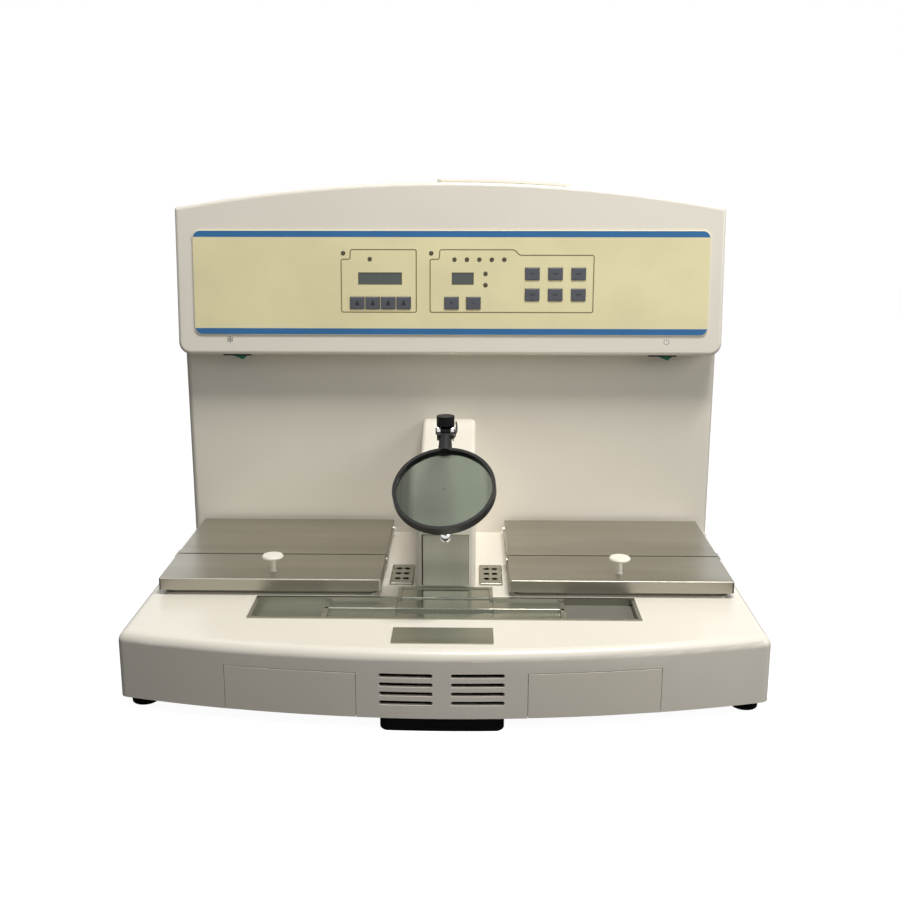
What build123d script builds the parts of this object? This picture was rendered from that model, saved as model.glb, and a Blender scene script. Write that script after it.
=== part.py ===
from build123d import *
import os
from math import atan2, cos, degrees, radians, sin

os.makedirs("parts", exist_ok=True)

# Overall sizes, in millimetres
# X runs to the right, Y to the back, Z up, and the origin is under the middle of the footprint
overall_width = 600
overall_depth = 560
front_bow = 40
foot_height = 12
deck_height = 76
wall = 4
clearance = 0.3
running_clearance = 0.05
sheet = 1.2

half_width = overall_width / 2
back_y = overall_depth / 2
front_y = front_bow - overall_depth / 2

# Base housing
deck_edge_radius = 10
front_corner_radius = 8
base_plate_thickness = 2
floor_z = foot_height + base_plate_thickness

# Back housing and console
back_wall_y = 64
back_wall_edge_radius = 7
console_bottom = 290
console_shoulder = 449
console_crest = 476
console_overhang = 28
console_lean = 14
console_corner_radius = 13
console_edge_radius = 7
console_brow_radius = 4
rear_flange = 12
rear_flange_thickness = 4
rear_cover_inset = 2
rear_cover_thickness = 2

console_front_y = back_wall_y - console_overhang
lean_angle = degrees(atan2(console_lean, console_shoulder - console_bottom))
rear_recess_y = back_y - rear_cover_inset - rear_cover_thickness

# Control panel on the leaning front of the console
panel_width = 564
panel_height = 113
panel_radius = 8
panel_thickness = 1.5
panel_centre_z = 368.5
panel_shift_x = 1.5
key_width = 15.6
key_height = 13
key_proud = 1.2
key_travel = 0.4
clock_key_pitch = 17
clock_key_x = -76.7
clock_key_drop = 21.6
clock_key_count = 4
set_key_pitch = 24
set_key_x = 13.3
set_key_count = 2
function_key_pitch_x = 25.2
function_key_pitch_z = 22.6
function_key_x = 114.7
function_key_drop = 1.1
function_key_columns = 3
function_key_rows = 2
display_rise = 4.9
display_height = 12.9
clock_display_width = 47.7
clock_display_x = -77
temperature_display_width = 23.7
temperature_display_x = 13.5
lamp_radius = 1.8
lamp_proud = 0.6
mode_lamp_pitch = 13.6
mode_lamp_x = 31.6
mode_lamp_rise = 25.4
mode_lamp_count = 5
single_lamps = [(-117.2, 32.1), (-88.1, 25.8), (-20.9, 32.1), (38.4, 10.1), (38.4, -2.1)]

# Rocker switches under the console
switch_x = 236.5
switch_y = 50
bezel_length = 31
bezel_depth = 15.5
bezel_thickness = 2
switch_body_length = 29.6
switch_body_depth = 14
switch_body_height = 14
switch_wall = 1.2
rocker_width = 10.8
rocker_half_length = 13
rocker_pivot_height = 5
rocker_swing = 20
rocker_pin_radius = 1.5

# Lids, baths and hinge pins
lid_inner_x = 64
lid_width = 222
lid_front_y = -145
lid_rear_y = 56
lid_seam_y = -67
lid_seam_gap = 1.8
lid_top = 93.5
lid_skirt = 12.3
lid_edge_radius = 1.2
lid_corner_radius = 2.5
rear_pin_y = 46
rear_pin_z = 85.5
rear_pin_radius = 2.5
rear_pin_head_radius = 3.5
pin_head_thickness = 2
seam_pin_y = -72
seam_pin_z = 89.5
seam_pin_radius = 2
seam_ear_height = 8
seam_ear_lap = 12
bath_gap = 8
bath_front_gap = 9
bath_rear_y = 41
bath_bottom = 58
bath_flange = 5
bath_corner_radius = 6
bath_ear_rim = 2
bath_ear_lap = 8
knob_y = -121
knob_stem_radius = 2.8
knob_disc_radius = 10.8
knob_disc_thickness = 3
knob_height = 17

# Work trough, warm plate and mat
trough_half_length = 187
trough_setback = 35
trough_rear_y = -147.5
trough_depth = 7
trough_flange = 2
trough_edge = 1
pan_length = 70
divider_width = 5
plate_half_width = 47.3
plate_gap = 0.5
terrace_shift = 3.65
upper_terrace_drop = 1.5
lower_terrace_drop = 4.5
terrace_nose_radius = 1
drain_radius = 1.8
drain_shift = 0.25
mat_thickness = 1.5
mat_corner_radius = 4

trough_front_y = front_y + trough_setback
trough_middle_y = (trough_front_y + trough_rear_y) / 2
terrace_y = trough_middle_y + terrace_shift
drain_y = trough_middle_y + drain_shift

# Cold plate, heat sink and fan
cold_plate_width = 92.5
cold_plate_setback = 18
cold_plate_depth = 36
cold_plate_thickness = 5
heat_sink_height = 22
fin_count = 11
fin_thickness = 1.5
fan_size = 50
fan_depth = 12
fan_gap = 3
fan_bore_radius = 22
fan_hub_radius = 9
fan_blade_count = 7
fan_axle_radius = 2

cold_plate_front_y = front_y - front_bow + cold_plate_setback
cold_plate_rear_y = cold_plate_front_y + cold_plate_depth

# Forceps wells
well_width = 24
well_depth = 57
well_thickness = 2.5
well_edge_radius = 1.2
well_x = 45.9
well_y = -84.5
well_hole_radius = 3.3
well_hole_pitch_x = 8.4
well_hole_pitch_y = 15
well_block_height = 42
well_hole_depth = 42

# Drawers and vents
drawer_inner_x = 76.5
drawer_width = 121
drawer_top = 55
drawer_length = 158
drawer_wall = 2
drawer_travel = 120
drawer_tray_height = 34
rail_thickness = 1.5
rail_height = 14
vent_length = 48
vent_width = 4
vent_pitch = 8.7
vent_count = 4
vent_x = 32
vent_top_z = 53

# Dispenser tower
tower_half_width = 30
tower_front_y = -119
tower_front_height = 154
tower_rear_height = 212
tower_wall = 3
tower_edge_radius = 5
tower_brow_radius = 8
push_plate_width = 46
push_plate_bottom = 79
push_plate_top = 132
push_plate_thickness = 2
push_plate_travel = 3
push_slot_gap = 1.3
push_rod_radius = 3
push_rod_z = 118
nozzle_z = 141
nozzle_radius = 6
nozzle_reach = 21
nozzle_drop = 2
valve_length = 34
valve_width = 26

# Magnifier
arm_foot_y = -35
arm_foot_radius = 10
arm_foot_rise = 4
arm_foot_depth = 14
arm_radius = 4
arm_bend = 12
arm_knee_z = 205
collar_height = 6
clamp_y = -121
clamp_z = 239.5
eye_radius = 5
eye_half_width = 5
cheek_radius = 6
cheek_thickness = 3
clamp_pin_radius = 2
ring_radius = 48.9
ring_depth = 8.8
ring_wall = 3.2
ring_elevation = 54.7
ring_twist = -5
neck_radius = 6
neck_foot_radius = 7
neck_length = 12
ring_offset = 74.5
lens_lap = 0.8
lens_thickness = 6
lens_edge = 1.5
magnifier_knob_radius = 8.8
magnifier_knob_height = 9

# Paraffin tank in the console
tank_x = 58
tank_y = 170
tank_width = 136
tank_length = 146
tank_bottom = 310
tank_wall = 1.5
tank_corner_radius = 12
tank_rim_gap = 2
filler_x = 60.5
filler_width = 149
filler_front_y = 88
filler_rear_y = 252
filler_thickness = 2.5
pipe_radius = 6
pipe_wall = 1
pipe_inset = 14
pipe_bend = 20
heater_thickness = 3


def bowed_plan(inset, rear_y):
    """Plan of the base: bowed front, straight sides, drawn inset from the outer face."""
    half = half_width - inset
    corner_y = front_y + inset
    with BuildSketch() as plan:
        with BuildLine():
            ThreePointArc((-half, corner_y), (0, corner_y - front_bow), (half, corner_y))
            Line((half, corner_y), (half, rear_y))
            Line((half, rear_y), (-half, rear_y))
            Line((-half, rear_y), (-half, corner_y))
        make_face()
        fillet(plan.vertices().group_by(Axis.Y)[0], radius=front_corner_radius)
    return plan.sketch


def arch_outline(inset, corner_radius):
    """Front view of the console: flat bottom, upright sides, arched top."""
    half = half_width - inset
    with BuildSketch() as outline:
        with BuildLine():
            Line((-half, console_bottom + inset), (half, console_bottom + inset))
            Line((half, console_bottom + inset), (half, console_shoulder - inset))
            ThreePointArc((half, console_shoulder - inset), (0, console_crest - inset), (-half, console_shoulder - inset))
            Line((-half, console_shoulder - inset), (-half, console_bottom + inset))
        make_face()
        fillet(outline.vertices().group_by(Axis.Y)[0], radius=corner_radius)
    return outline.sketch


def arch_height(x):
    """Height of the console's arched top above the floor at a distance x from the middle."""
    rise = console_crest - console_shoulder
    radius = (half_width**2 + rise**2) / (2 * rise)
    return console_crest - radius + (radius**2 - x**2) ** 0.5


def elevation_plane(y):
    """Upright plane at y, with its own x to the right and its own y upwards; it faces the front."""
    return Plane(origin=(0, y, 0), x_dir=(1, 0, 0), z_dir=(0, -1, 0))


def panel_plane(depth):
    """Plane of the console's leaning front, centred on the control panel and moved outwards by depth."""
    foot = console_front_y + (panel_centre_z - console_bottom) * console_lean / (console_shoulder - console_bottom)
    outward = Vector(0, -cos(radians(lean_angle)), sin(radians(lean_angle)))
    origin = Vector(panel_shift_x, foot, panel_centre_z) + outward * depth
    return Plane(origin=origin, x_dir=(1, 0, 0), z_dir=outward)


def trough_plan(inset):
    """Plan of the work trough: a long rectangle with a shorter arm back to the tower."""
    with BuildSketch() as plan:
        with Locations((0, trough_middle_y)):
            Rectangle(2 * (trough_half_length - inset), trough_rear_y - trough_front_y - 2 * inset)
        with Locations((0, (trough_front_y + plate_rear_y) / 2)):
            Rectangle(2 * (plate_half_width - inset), plate_rear_y - trough_front_y - 2 * inset)
    return plan.sketch


def terrace_profile(rear_y, treads):
    """Side view of terraces on the trough's floor; each tread has its front edge and its drop below the deck."""
    corners = [(treads[0][0], trough_floor)]
    for i, (tread_y, drop) in enumerate(treads):
        tread_end_y = treads[i + 1][0] if i + 1 < len(treads) else rear_y
        corners += [(tread_y, deck_height - drop), (tread_end_y, deck_height - drop)]
    with BuildSketch() as profile:
        Polygon(*corners, (rear_y, trough_floor), align=None)
        for nose_y, drop in treads[1:]:
            nose = profile.vertices().sort_by_distance((nose_y, deck_height - drop))[0]
            fillet(nose, radius=terrace_nose_radius)
    return profile.sketch


def save(piece, name):
    piece.part.label = name
    export_step(piece.part, f"parts/{name}.step")


# Places on the control panel, measured from its centre
clock_key_places = [
    (clock_key_x + (i - (clock_key_count - 1) / 2) * clock_key_pitch, -clock_key_drop) for i in range(clock_key_count)
]
set_key_places = [
    (set_key_x + (i - (set_key_count - 1) / 2) * set_key_pitch, -clock_key_drop) for i in range(set_key_count)
]
function_key_places = [
    (
        function_key_x + (column - (function_key_columns - 1) / 2) * function_key_pitch_x,
        -function_key_drop + ((function_key_rows - 1) / 2 - row) * function_key_pitch_z,
    )
    for row in range(function_key_rows)
    for column in range(function_key_columns)
]
key_places = clock_key_places + set_key_places + function_key_places
lamp_places = single_lamps + [
    (mode_lamp_x + (i - (mode_lamp_count - 1) / 2) * mode_lamp_pitch, mode_lamp_rise) for i in range(mode_lamp_count)
]
lid_centre_x = lid_inner_x + lid_width / 2
bath_width = lid_width - 2 * bath_gap
bath_front_y = lid_front_y + bath_front_gap
bath_length = bath_rear_y - bath_front_y
bath_rim = lid_top - sheet - clearance
leaf_rear_y = lid_seam_y - lid_seam_gap
seam_relief = ((leaf_rear_y - seam_pin_y) ** 2 + (lid_top - seam_pin_z) ** 2) ** 0.5 + 2 * clearance
trough_inset = trough_flange + clearance + sheet
trough_floor = deck_height - trough_depth
drawer_centre_x = drawer_inner_x + drawer_width / 2
plate_rear_y = tower_front_y - plate_gap
pipe_y = tank_y - tank_length / 2 + pipe_inset
pin_length = bath_gap + sheet
lens_radius = ring_radius - ring_wall + lens_lap

# Base housing: a bowed shell open underneath, cut for everything that sits in it
with BuildPart() as base_housing:
    with BuildSketch(Plane.XY.offset(foot_height)):
        add(bowed_plan(0, back_wall_y))
    extrude(amount=deck_height - foot_height)
    deck_edges = base_housing.edges().group_by(Axis.Z)[-1]
    fillet(deck_edges.sort_by(Axis.Y)[:-1], radius=deck_edge_radius)
    with BuildSketch(Plane.XY.offset(foot_height)):
        with Locations((0, (back_wall_y + back_y) / 2)):
            Rectangle(overall_width, back_y - back_wall_y)
    extrude(amount=deck_height - foot_height)
    with BuildSketch(Plane.XY.offset(foot_height)):
        add(bowed_plan(wall, back_y - wall))
    extrude(amount=deck_height - wall - foot_height, mode=Mode.SUBTRACT)
    # Openings in the deck
    with BuildSketch(Plane.XY.offset(deck_height)):
        with Locations(
            (-lid_centre_x, bath_front_y + bath_length / 2),
            (lid_centre_x, bath_front_y + bath_length / 2),
        ):
            Rectangle(bath_width + 2 * clearance, bath_length + 2 * clearance)
        with Locations((0, trough_middle_y)):
            Rectangle(
                2 * (trough_half_length - trough_flange),
                trough_rear_y - trough_front_y - 2 * trough_flange,
            )
        with Locations((0, (trough_front_y + plate_rear_y) / 2)):
            Rectangle(
                2 * (plate_half_width - trough_flange),
                plate_rear_y - trough_front_y - 2 * trough_flange,
            )
        with Locations((0, (cold_plate_front_y + cold_plate_rear_y) / 2)):
            Rectangle(
                cold_plate_width - 2 * trough_flange,
                cold_plate_rear_y - cold_plate_front_y - 2 * trough_flange,
            )
        with Locations((-well_x, well_y), (well_x, well_y)):
            Rectangle(well_width - 2 * trough_flange, well_depth - 2 * trough_flange)
        with Locations((0, (back_wall_y + wall + rear_recess_y) / 2)):
            Rectangle(overall_width / 2, (rear_recess_y - back_wall_y - wall) / 2)
    extrude(amount=-wall, mode=Mode.SUBTRACT)
    # Vent slots and drawer openings in the bowed front
    with BuildSketch(elevation_plane(front_y)):
        with Locations((0, vent_top_z - (vent_count - 1) * vent_pitch / 2)):
            with GridLocations(2 * vent_x, vent_pitch, 2, vent_count):
                SlotOverall(vent_length, vent_width)
        with Locations(
            (-drawer_centre_x, (foot_height + drawer_top) / 2),
            (drawer_centre_x, (foot_height + drawer_top) / 2),
        ):
            Rectangle(drawer_width, drawer_top - foot_height)
    extrude(amount=front_bow + 1, both=True, mode=Mode.SUBTRACT)
save(base_housing, "base_housing")

# Base plate: the sheet that closes the base from below, behind the drawer fronts
with BuildPart() as base_plate:
    with BuildSketch(Plane.XY.offset(foot_height)):
        add(bowed_plan(wall + clearance, back_y - wall - clearance))
    extrude(amount=base_plate_thickness)
save(base_plate, "base_plate")

# Corner feet: round rubber feet under the base plate
foot_radius = 12.5
foot_inset = 18
foot_rear_inset = 28
foot_x = half_width - foot_inset
foot_front_y = front_y + foot_inset
foot_rear_y = back_y - foot_rear_inset
with BuildPart() as corner_feet:
    with BuildSketch():
        with Locations((-foot_x, foot_front_y), (foot_x, foot_front_y), (-foot_x, foot_rear_y), (foot_x, foot_rear_y)):
            Circle(foot_radius)
    extrude(amount=foot_height)
    fillet(corner_feet.faces().filter_by(Axis.Z).group_by(Axis.Z)[0].edges(), radius=1.5)
save(corner_feet, "corner_feet")

# Centre foot: a long rubber block under the front, with round corners, cut to the bow of the base
centre_foot_length = 112
centre_foot_depth = 36
centre_foot_radius = 12
with BuildPart() as centre_foot:
    with BuildSketch():
        with Locations((0, front_y - front_bow + centre_foot_depth / 2)):
            RectangleRounded(centre_foot_length, centre_foot_depth, centre_foot_radius)
        add(bowed_plan(clearance, back_wall_y), mode=Mode.INTERSECT)
    extrude(amount=foot_height)
save(centre_foot, "centre_foot")

# Back housing: front wall and two sides between the deck and the console
with BuildPart() as back_housing:
    with BuildSketch(Plane.XY.offset(deck_height)) as back_plan:
        with Locations((0, (back_wall_y + back_y) / 2)):
            Rectangle(overall_width, back_y - back_wall_y)
        fillet(back_plan.vertices().group_by(Axis.Y)[0], radius=back_wall_edge_radius)
    extrude(amount=console_bottom - deck_height)
    with BuildSketch(Plane.XY.offset(deck_height)):
        with Locations((0, (back_wall_y + wall + rear_recess_y - rear_flange_thickness) / 2)):
            Rectangle(overall_width - 2 * wall, rear_recess_y - rear_flange_thickness - back_wall_y - wall)
        with Locations((0, back_y - wall)):
            Rectangle(overall_width - 2 * wall - 2 * rear_flange, 6 * wall)
        with Locations((0, (rear_recess_y + back_y) / 2)):
            Rectangle(overall_width - 2 * wall, back_y - rear_recess_y)
    extrude(amount=console_bottom - deck_height, mode=Mode.SUBTRACT)
    # Hole for the feed pipe behind the tower
    with BuildSketch(elevation_plane(back_wall_y)):
        with Locations((0, push_rod_z)):
            Circle(pipe_radius + 2 * clearance)
    extrude(amount=-wall, mode=Mode.SUBTRACT)
save(back_housing, "back_housing")

# Console housing: arched shell that leans back, with a tank opening in its top
with BuildPart() as console_housing:
    with BuildSketch(elevation_plane(console_front_y)):
        add(arch_outline(0, console_corner_radius))
    extrude(amount=console_front_y - back_y)
    # The leaning front
    lean_rise = console_crest + wall - console_bottom
    with BuildSketch(Plane.YZ):
        Polygon(
            (console_front_y - wall, console_bottom - wall),
            (console_front_y - wall, console_crest + wall),
            (
                console_front_y + lean_rise * console_lean / (console_shoulder - console_bottom),
                console_crest + wall,
            ),
            (console_front_y, console_bottom),
            (console_front_y, console_bottom - wall),
            align=None,
        )
    extrude(amount=overall_width, both=True, mode=Mode.SUBTRACT)
    front_face = console_housing.faces().sort_by(Axis.Y)[0]
    fillet(front_face.edges(), radius=console_brow_radius)
    # Inside, open to the back as far as the flange that carries the rear cover
    with BuildSketch(elevation_plane(rear_recess_y - rear_flange_thickness), mode=Mode.PRIVATE) as inside:
        add(arch_outline(wall, console_corner_radius - wall))
    cavity = extrude(inside.sketch, amount=rear_recess_y - console_front_y, mode=Mode.PRIVATE)
    split(cavity, bisect_by=panel_plane(-wall), keep=Keep.BOTTOM, mode=Mode.SUBTRACT)
    with BuildSketch(elevation_plane(rear_recess_y - rear_flange_thickness)):
        add(arch_outline(wall + rear_flange, console_corner_radius - wall))
    extrude(amount=-rear_flange_thickness, mode=Mode.SUBTRACT)
    with BuildSketch(elevation_plane(rear_recess_y)):
        add(arch_outline(wall, console_corner_radius - wall))
        with Locations((0, console_bottom + console_corner_radius)):
            Rectangle(overall_width - 2 * wall, 2 * console_corner_radius)
    extrude(amount=rear_recess_y - back_y, mode=Mode.SUBTRACT)
    # Tank opening in the top, pipe hole in the floor, switch holes in the overhang
    with BuildSketch(Plane.XY.offset(console_crest)):
        with Locations((tank_x, tank_y)):
            RectangleRounded(tank_width + 2 * clearance, tank_length + 2 * clearance, tank_corner_radius)
    extrude(amount=-(console_crest - console_shoulder) - 3 * wall, mode=Mode.SUBTRACT)
    with BuildSketch(Plane.XY.offset(console_bottom)):
        with Locations((0, pipe_y)):
            Circle(pipe_radius + 2 * clearance)
        with Locations((-switch_x, switch_y), (switch_x, switch_y)):
            Rectangle(switch_body_length + 2 * clearance, switch_body_depth + 2 * clearance)
    extrude(amount=wall, mode=Mode.SUBTRACT)
    # Two ribs on the floor carry the tank and its heater
    with BuildSketch(Plane.XY.offset(console_bottom + wall)):
        with Locations((tank_x, tank_y)):
            with GridLocations(tank_width / 2, 0, 2, 1):
                Rectangle(wall, tank_length - 2 * tank_corner_radius)
    extrude(amount=tank_bottom - heater_thickness - console_bottom - wall)
save(console_housing, "console_housing")

# Rear cover: one louvred sheet over the back housing and the console
louvre_length = 60
louvre_height = 4
louvre_pitch = 12
louvre_columns = 4
louvre_rows = 6
louvre_z = 200
inlet_x = -220
inlet_z = 120
inlet_width = 28
inlet_height = 22
cover_screw_places = [
    (side * (half_width - wall - rear_flange / 2), z)
    for side in (-1, 1)
    for z in (deck_height + 20, (deck_height + console_bottom) / 2, console_bottom - 20, panel_centre_z)
]
screw_radius = 1.5
screw_head_radius = 3
screw_head_height = 1.5
with BuildPart() as rear_cover:
    with BuildSketch(elevation_plane(rear_recess_y)):
        add(arch_outline(wall + clearance, console_corner_radius - wall))
        with Locations((0, (deck_height + console_bottom + console_corner_radius) / 2)):
            Rectangle(
                overall_width - 2 * wall - 2 * clearance,
                console_bottom + console_corner_radius - deck_height - 2 * clearance,
            )
    extrude(amount=-rear_cover_thickness)
    with BuildSketch(elevation_plane(rear_recess_y)):
        with Locations((0, louvre_z)):
            with GridLocations(1.5 * louvre_length, louvre_pitch, louvre_columns, louvre_rows):
                SlotOverall(louvre_length, louvre_height)
        with Locations((inlet_x, inlet_z)):
            Rectangle(inlet_width + 2 * clearance, inlet_height + 2 * clearance)
        with Locations(*cover_screw_places):
            Circle(screw_radius)
    extrude(amount=-rear_cover_thickness, mode=Mode.SUBTRACT)
save(rear_cover, "rear_cover")

# Cover screws: pan heads outside the rear cover, shanks through it
with BuildPart() as cover_screws:
    with BuildSketch(elevation_plane(rear_recess_y + rear_cover_thickness)):
        with Locations(*cover_screw_places):
            Circle(screw_head_radius)
    extrude(amount=-screw_head_height)
    with BuildSketch(elevation_plane(rear_recess_y + rear_cover_thickness)):
        with Locations(*cover_screw_places):
            Circle(screw_radius)
    extrude(amount=rear_cover_thickness)
    heads = cover_screws.faces().filter_by(Axis.Y).group_by(Axis.Y)[-1]
    fillet(heads.edges(), radius=0.6)
save(cover_screws, "cover_screws")

# Power inlet: flanged appliance inlet in the rear cover
inlet_depth = 24
inlet_flange = 4
inlet_pin_radius = 1
with BuildPart() as power_inlet:
    with BuildSketch(elevation_plane(rear_recess_y + rear_cover_thickness)):
        with Locations((inlet_x, inlet_z)):
            RectangleRounded(inlet_width + 2 * inlet_flange, inlet_height + 2 * inlet_flange, 3)
    extrude(amount=-rear_cover_inset)
    with BuildSketch(elevation_plane(rear_recess_y + rear_cover_thickness)):
        with Locations((inlet_x, inlet_z)):
            Rectangle(inlet_width, inlet_height)
    extrude(amount=inlet_depth)
    with BuildSketch(elevation_plane(back_y)):
        with Locations((inlet_x, inlet_z)):
            RectangleRounded(inlet_width - 4, inlet_height - 4, 3)
    extrude(amount=inlet_depth - 4, mode=Mode.SUBTRACT)
    with BuildSketch(elevation_plane(back_y - 4)):
        with Locations((inlet_x, inlet_z)):
            with GridLocations(7, 5, 3, 1):
                Circle(inlet_pin_radius)
    extrude(amount=inlet_depth - 6)
save(power_inlet, "power_inlet")

# Control panel: thin plate with windows for displays, keys and lamps
with BuildPart() as control_panel:
    with BuildSketch(panel_plane(0)):
        RectangleRounded(panel_width, panel_height, panel_radius)
        with Locations(*key_places):
            Rectangle(key_width + 2 * clearance, key_height + 2 * clearance, mode=Mode.SUBTRACT)
        with Locations(*lamp_places):
            Circle(lamp_radius + clearance / 2, mode=Mode.SUBTRACT)
        with Locations((clock_display_x, display_rise)):
            Rectangle(clock_display_width, display_height, mode=Mode.SUBTRACT)
        with Locations((temperature_display_x, display_rise)):
            Rectangle(temperature_display_width, display_height, mode=Mode.SUBTRACT)
    extrude(amount=panel_thickness)
save(control_panel, "control_panel")

# Display windows: dark lenses seated in the panel
display_recess = 0.4
with BuildPart() as display_windows:
    with BuildSketch(panel_plane(0)):
        with Locations((clock_display_x, display_rise)):
            Rectangle(clock_display_width - clearance, display_height - clearance)
        with Locations((temperature_display_x, display_rise)):
            Rectangle(temperature_display_width - clearance, display_height - clearance)
    extrude(amount=panel_thickness - display_recess)
save(display_windows, "display_windows")

# Indicator lamps: small stepped lenses that stand through the panel
with BuildPart() as indicator_lamps:
    with BuildSketch(panel_plane(0)):
        with Locations(*lamp_places):
            Circle(lamp_radius)
    extrude(amount=panel_thickness + lamp_proud, taper=4)
save(indicator_lamps, "indicator_lamps")

# Keys: each cap stands in its window with room behind it to travel
key_names = (
    [f"clock_key_{i + 1}" for i in range(clock_key_count)]
    + [f"set_key_{i + 1}" for i in range(set_key_count)]
    + [f"function_key_{i + 1}" for i in range(function_key_columns * function_key_rows)]
)
key_stop_gap = 0.1
for key_name, key_place in zip(key_names, key_places):
    with BuildPart() as key_cap:
        with BuildSketch(panel_plane(key_travel + key_stop_gap)):
            with Locations(key_place):
                RectangleRounded(key_width, key_height, 1)
        extrude(amount=panel_thickness + key_proud - key_travel - key_stop_gap)
        fillet(key_cap.faces().sort_by(Axis.Y)[0].edges(), radius=0.5)
    save(key_cap, key_name)

# Switch bezels: flange under the console, body with blind pivot holes above it
with BuildPart() as switch_bezels:
    with BuildSketch(Plane.XY.offset(console_bottom - bezel_thickness)):
        with Locations((-switch_x, switch_y), (switch_x, switch_y)):
            RectangleRounded(bezel_length, bezel_depth, 1)
    extrude(amount=bezel_thickness)
    with BuildSketch(Plane.XY.offset(console_bottom)):
        with Locations((-switch_x, switch_y), (switch_x, switch_y)):
            Rectangle(switch_body_length, switch_body_depth)
    extrude(amount=switch_body_height)
    with BuildSketch(Plane.XY.offset(console_bottom - bezel_thickness)):
        with Locations((-switch_x, switch_y), (switch_x, switch_y)):
            Rectangle(switch_body_length - 2 * switch_wall, rocker_width + 2 * clearance)
    extrude(amount=bezel_thickness + switch_body_height - switch_wall, mode=Mode.SUBTRACT)
    with BuildSketch(elevation_plane(switch_y)):
        with Locations(
            (-switch_x, console_bottom + rocker_pivot_height),
            (switch_x, console_bottom + rocker_pivot_height),
        ):
            Circle(rocker_pin_radius + running_clearance)
    extrude(amount=rocker_width / 2 + clearance + switch_wall / 2, both=True, mode=Mode.SUBTRACT)
save(switch_bezels, "switch_bezels")

# Rockers: a bar with two noses and a shallow valley, on trunnions, set with the right nose out
tip_x = 9.5
tip_drop = 9
valley_drop = 8.5
shoulder_drop = 3
rocker_back_half = 10.5
rocker_back_rise = 2
for side_name, side in (("left", -1), ("right", 1)):
    pivot = Plane(
        origin=(side * switch_x, switch_y, console_bottom + rocker_pivot_height),
        x_dir=(cos(radians(rocker_swing)), 0, -sin(radians(rocker_swing))),
        z_dir=(0, -1, 0),
    )
    with BuildPart() as rocker:
        with BuildSketch(pivot):
            Polygon(
                (-rocker_half_length, -shoulder_drop),
                (-tip_x, -tip_drop),
                (0, -valley_drop),
                (tip_x, -tip_drop),
                (rocker_half_length, -shoulder_drop),
                (rocker_back_half, rocker_back_rise),
                (-rocker_back_half, rocker_back_rise),
                align=None,
            )
        extrude(amount=rocker_width / 2, both=True)
        with BuildSketch(pivot):
            Circle(rocker_pin_radius)
        extrude(amount=rocker_width / 2 + clearance + switch_wall / 2 - running_clearance, both=True)
    save(rocker, f"{side_name}_switch_rocker")

# Baths: shallow heated tubs whose rims stand above the deck, with hinge ears at the back
for side_name, side in (("left", -1), ("right", 1)):
    centre = (side * lid_centre_x, bath_front_y + bath_length / 2)
    with BuildPart() as bath:
        with BuildSketch(Plane.XY.offset(bath_bottom)):
            with Locations(centre):
                RectangleRounded(bath_width, bath_length, bath_corner_radius)
        extrude(amount=bath_rim - bath_bottom)
        with BuildSketch(Plane.XY.offset(deck_height)):
            with Locations(centre):
                RectangleRounded(
                    bath_width + 2 * bath_flange, bath_length + 2 * bath_flange, bath_corner_radius + bath_flange
                )
        extrude(amount=sheet)
        # Ears that carry the rear hinge pins
        for ear_x in (-bath_width / 2 + sheet / 2, bath_width / 2 - sheet / 2):
            with BuildSketch(Plane.YZ.offset(side * lid_centre_x + ear_x)):
                with Locations((rear_pin_y, rear_pin_z)):
                    Circle(rear_pin_radius + bath_ear_rim)
                with Locations(((bath_rear_y - bath_ear_lap + rear_pin_y) / 2, (deck_height + rear_pin_z) / 2)):
                    Rectangle(rear_pin_y - bath_rear_y + bath_ear_lap + bath_ear_rim, rear_pin_z - deck_height)
            extrude(amount=sheet / 2, both=True)
        with BuildSketch(Plane.XY.offset(bath_bottom + sheet)):
            with Locations(centre):
                RectangleRounded(bath_width - 2 * sheet, bath_length - 2 * sheet, bath_corner_radius - sheet)
        extrude(amount=bath_rim - bath_bottom, mode=Mode.SUBTRACT)
        # Pin holes at the back, and scallops in the side rims where the folding leaf swings down
        with BuildSketch(Plane.YZ.offset(side * lid_centre_x)):
            with Locations((rear_pin_y, rear_pin_z)):
                Circle(rear_pin_radius)
            with Locations((seam_pin_y, seam_pin_z)):
                Circle(seam_relief)
        extrude(amount=lid_width / 2, both=True, mode=Mode.SUBTRACT)
    save(bath, f"{side_name}_bath")

# Rear hinge pins: headed pins from outside the lid skirts into the bath ears
with BuildPart() as lid_hinge_pins:
    for side in (-1, 1):
        for end in (-1, 1):
            skirt_face = side * lid_centre_x + end * lid_width / 2
            with BuildSketch(Plane.YZ.offset(skirt_face + end * clearance)):
                with Locations((rear_pin_y, rear_pin_z)):
                    Circle(rear_pin_head_radius)
            extrude(amount=end * pin_head_thickness)
            with BuildSketch(Plane.YZ.offset(skirt_face + end * clearance)):
                with Locations((rear_pin_y, rear_pin_z)):
                    Circle(rear_pin_radius)
            extrude(amount=-end * pin_length)
save(lid_hinge_pins, "lid_hinge_pins")

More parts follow.
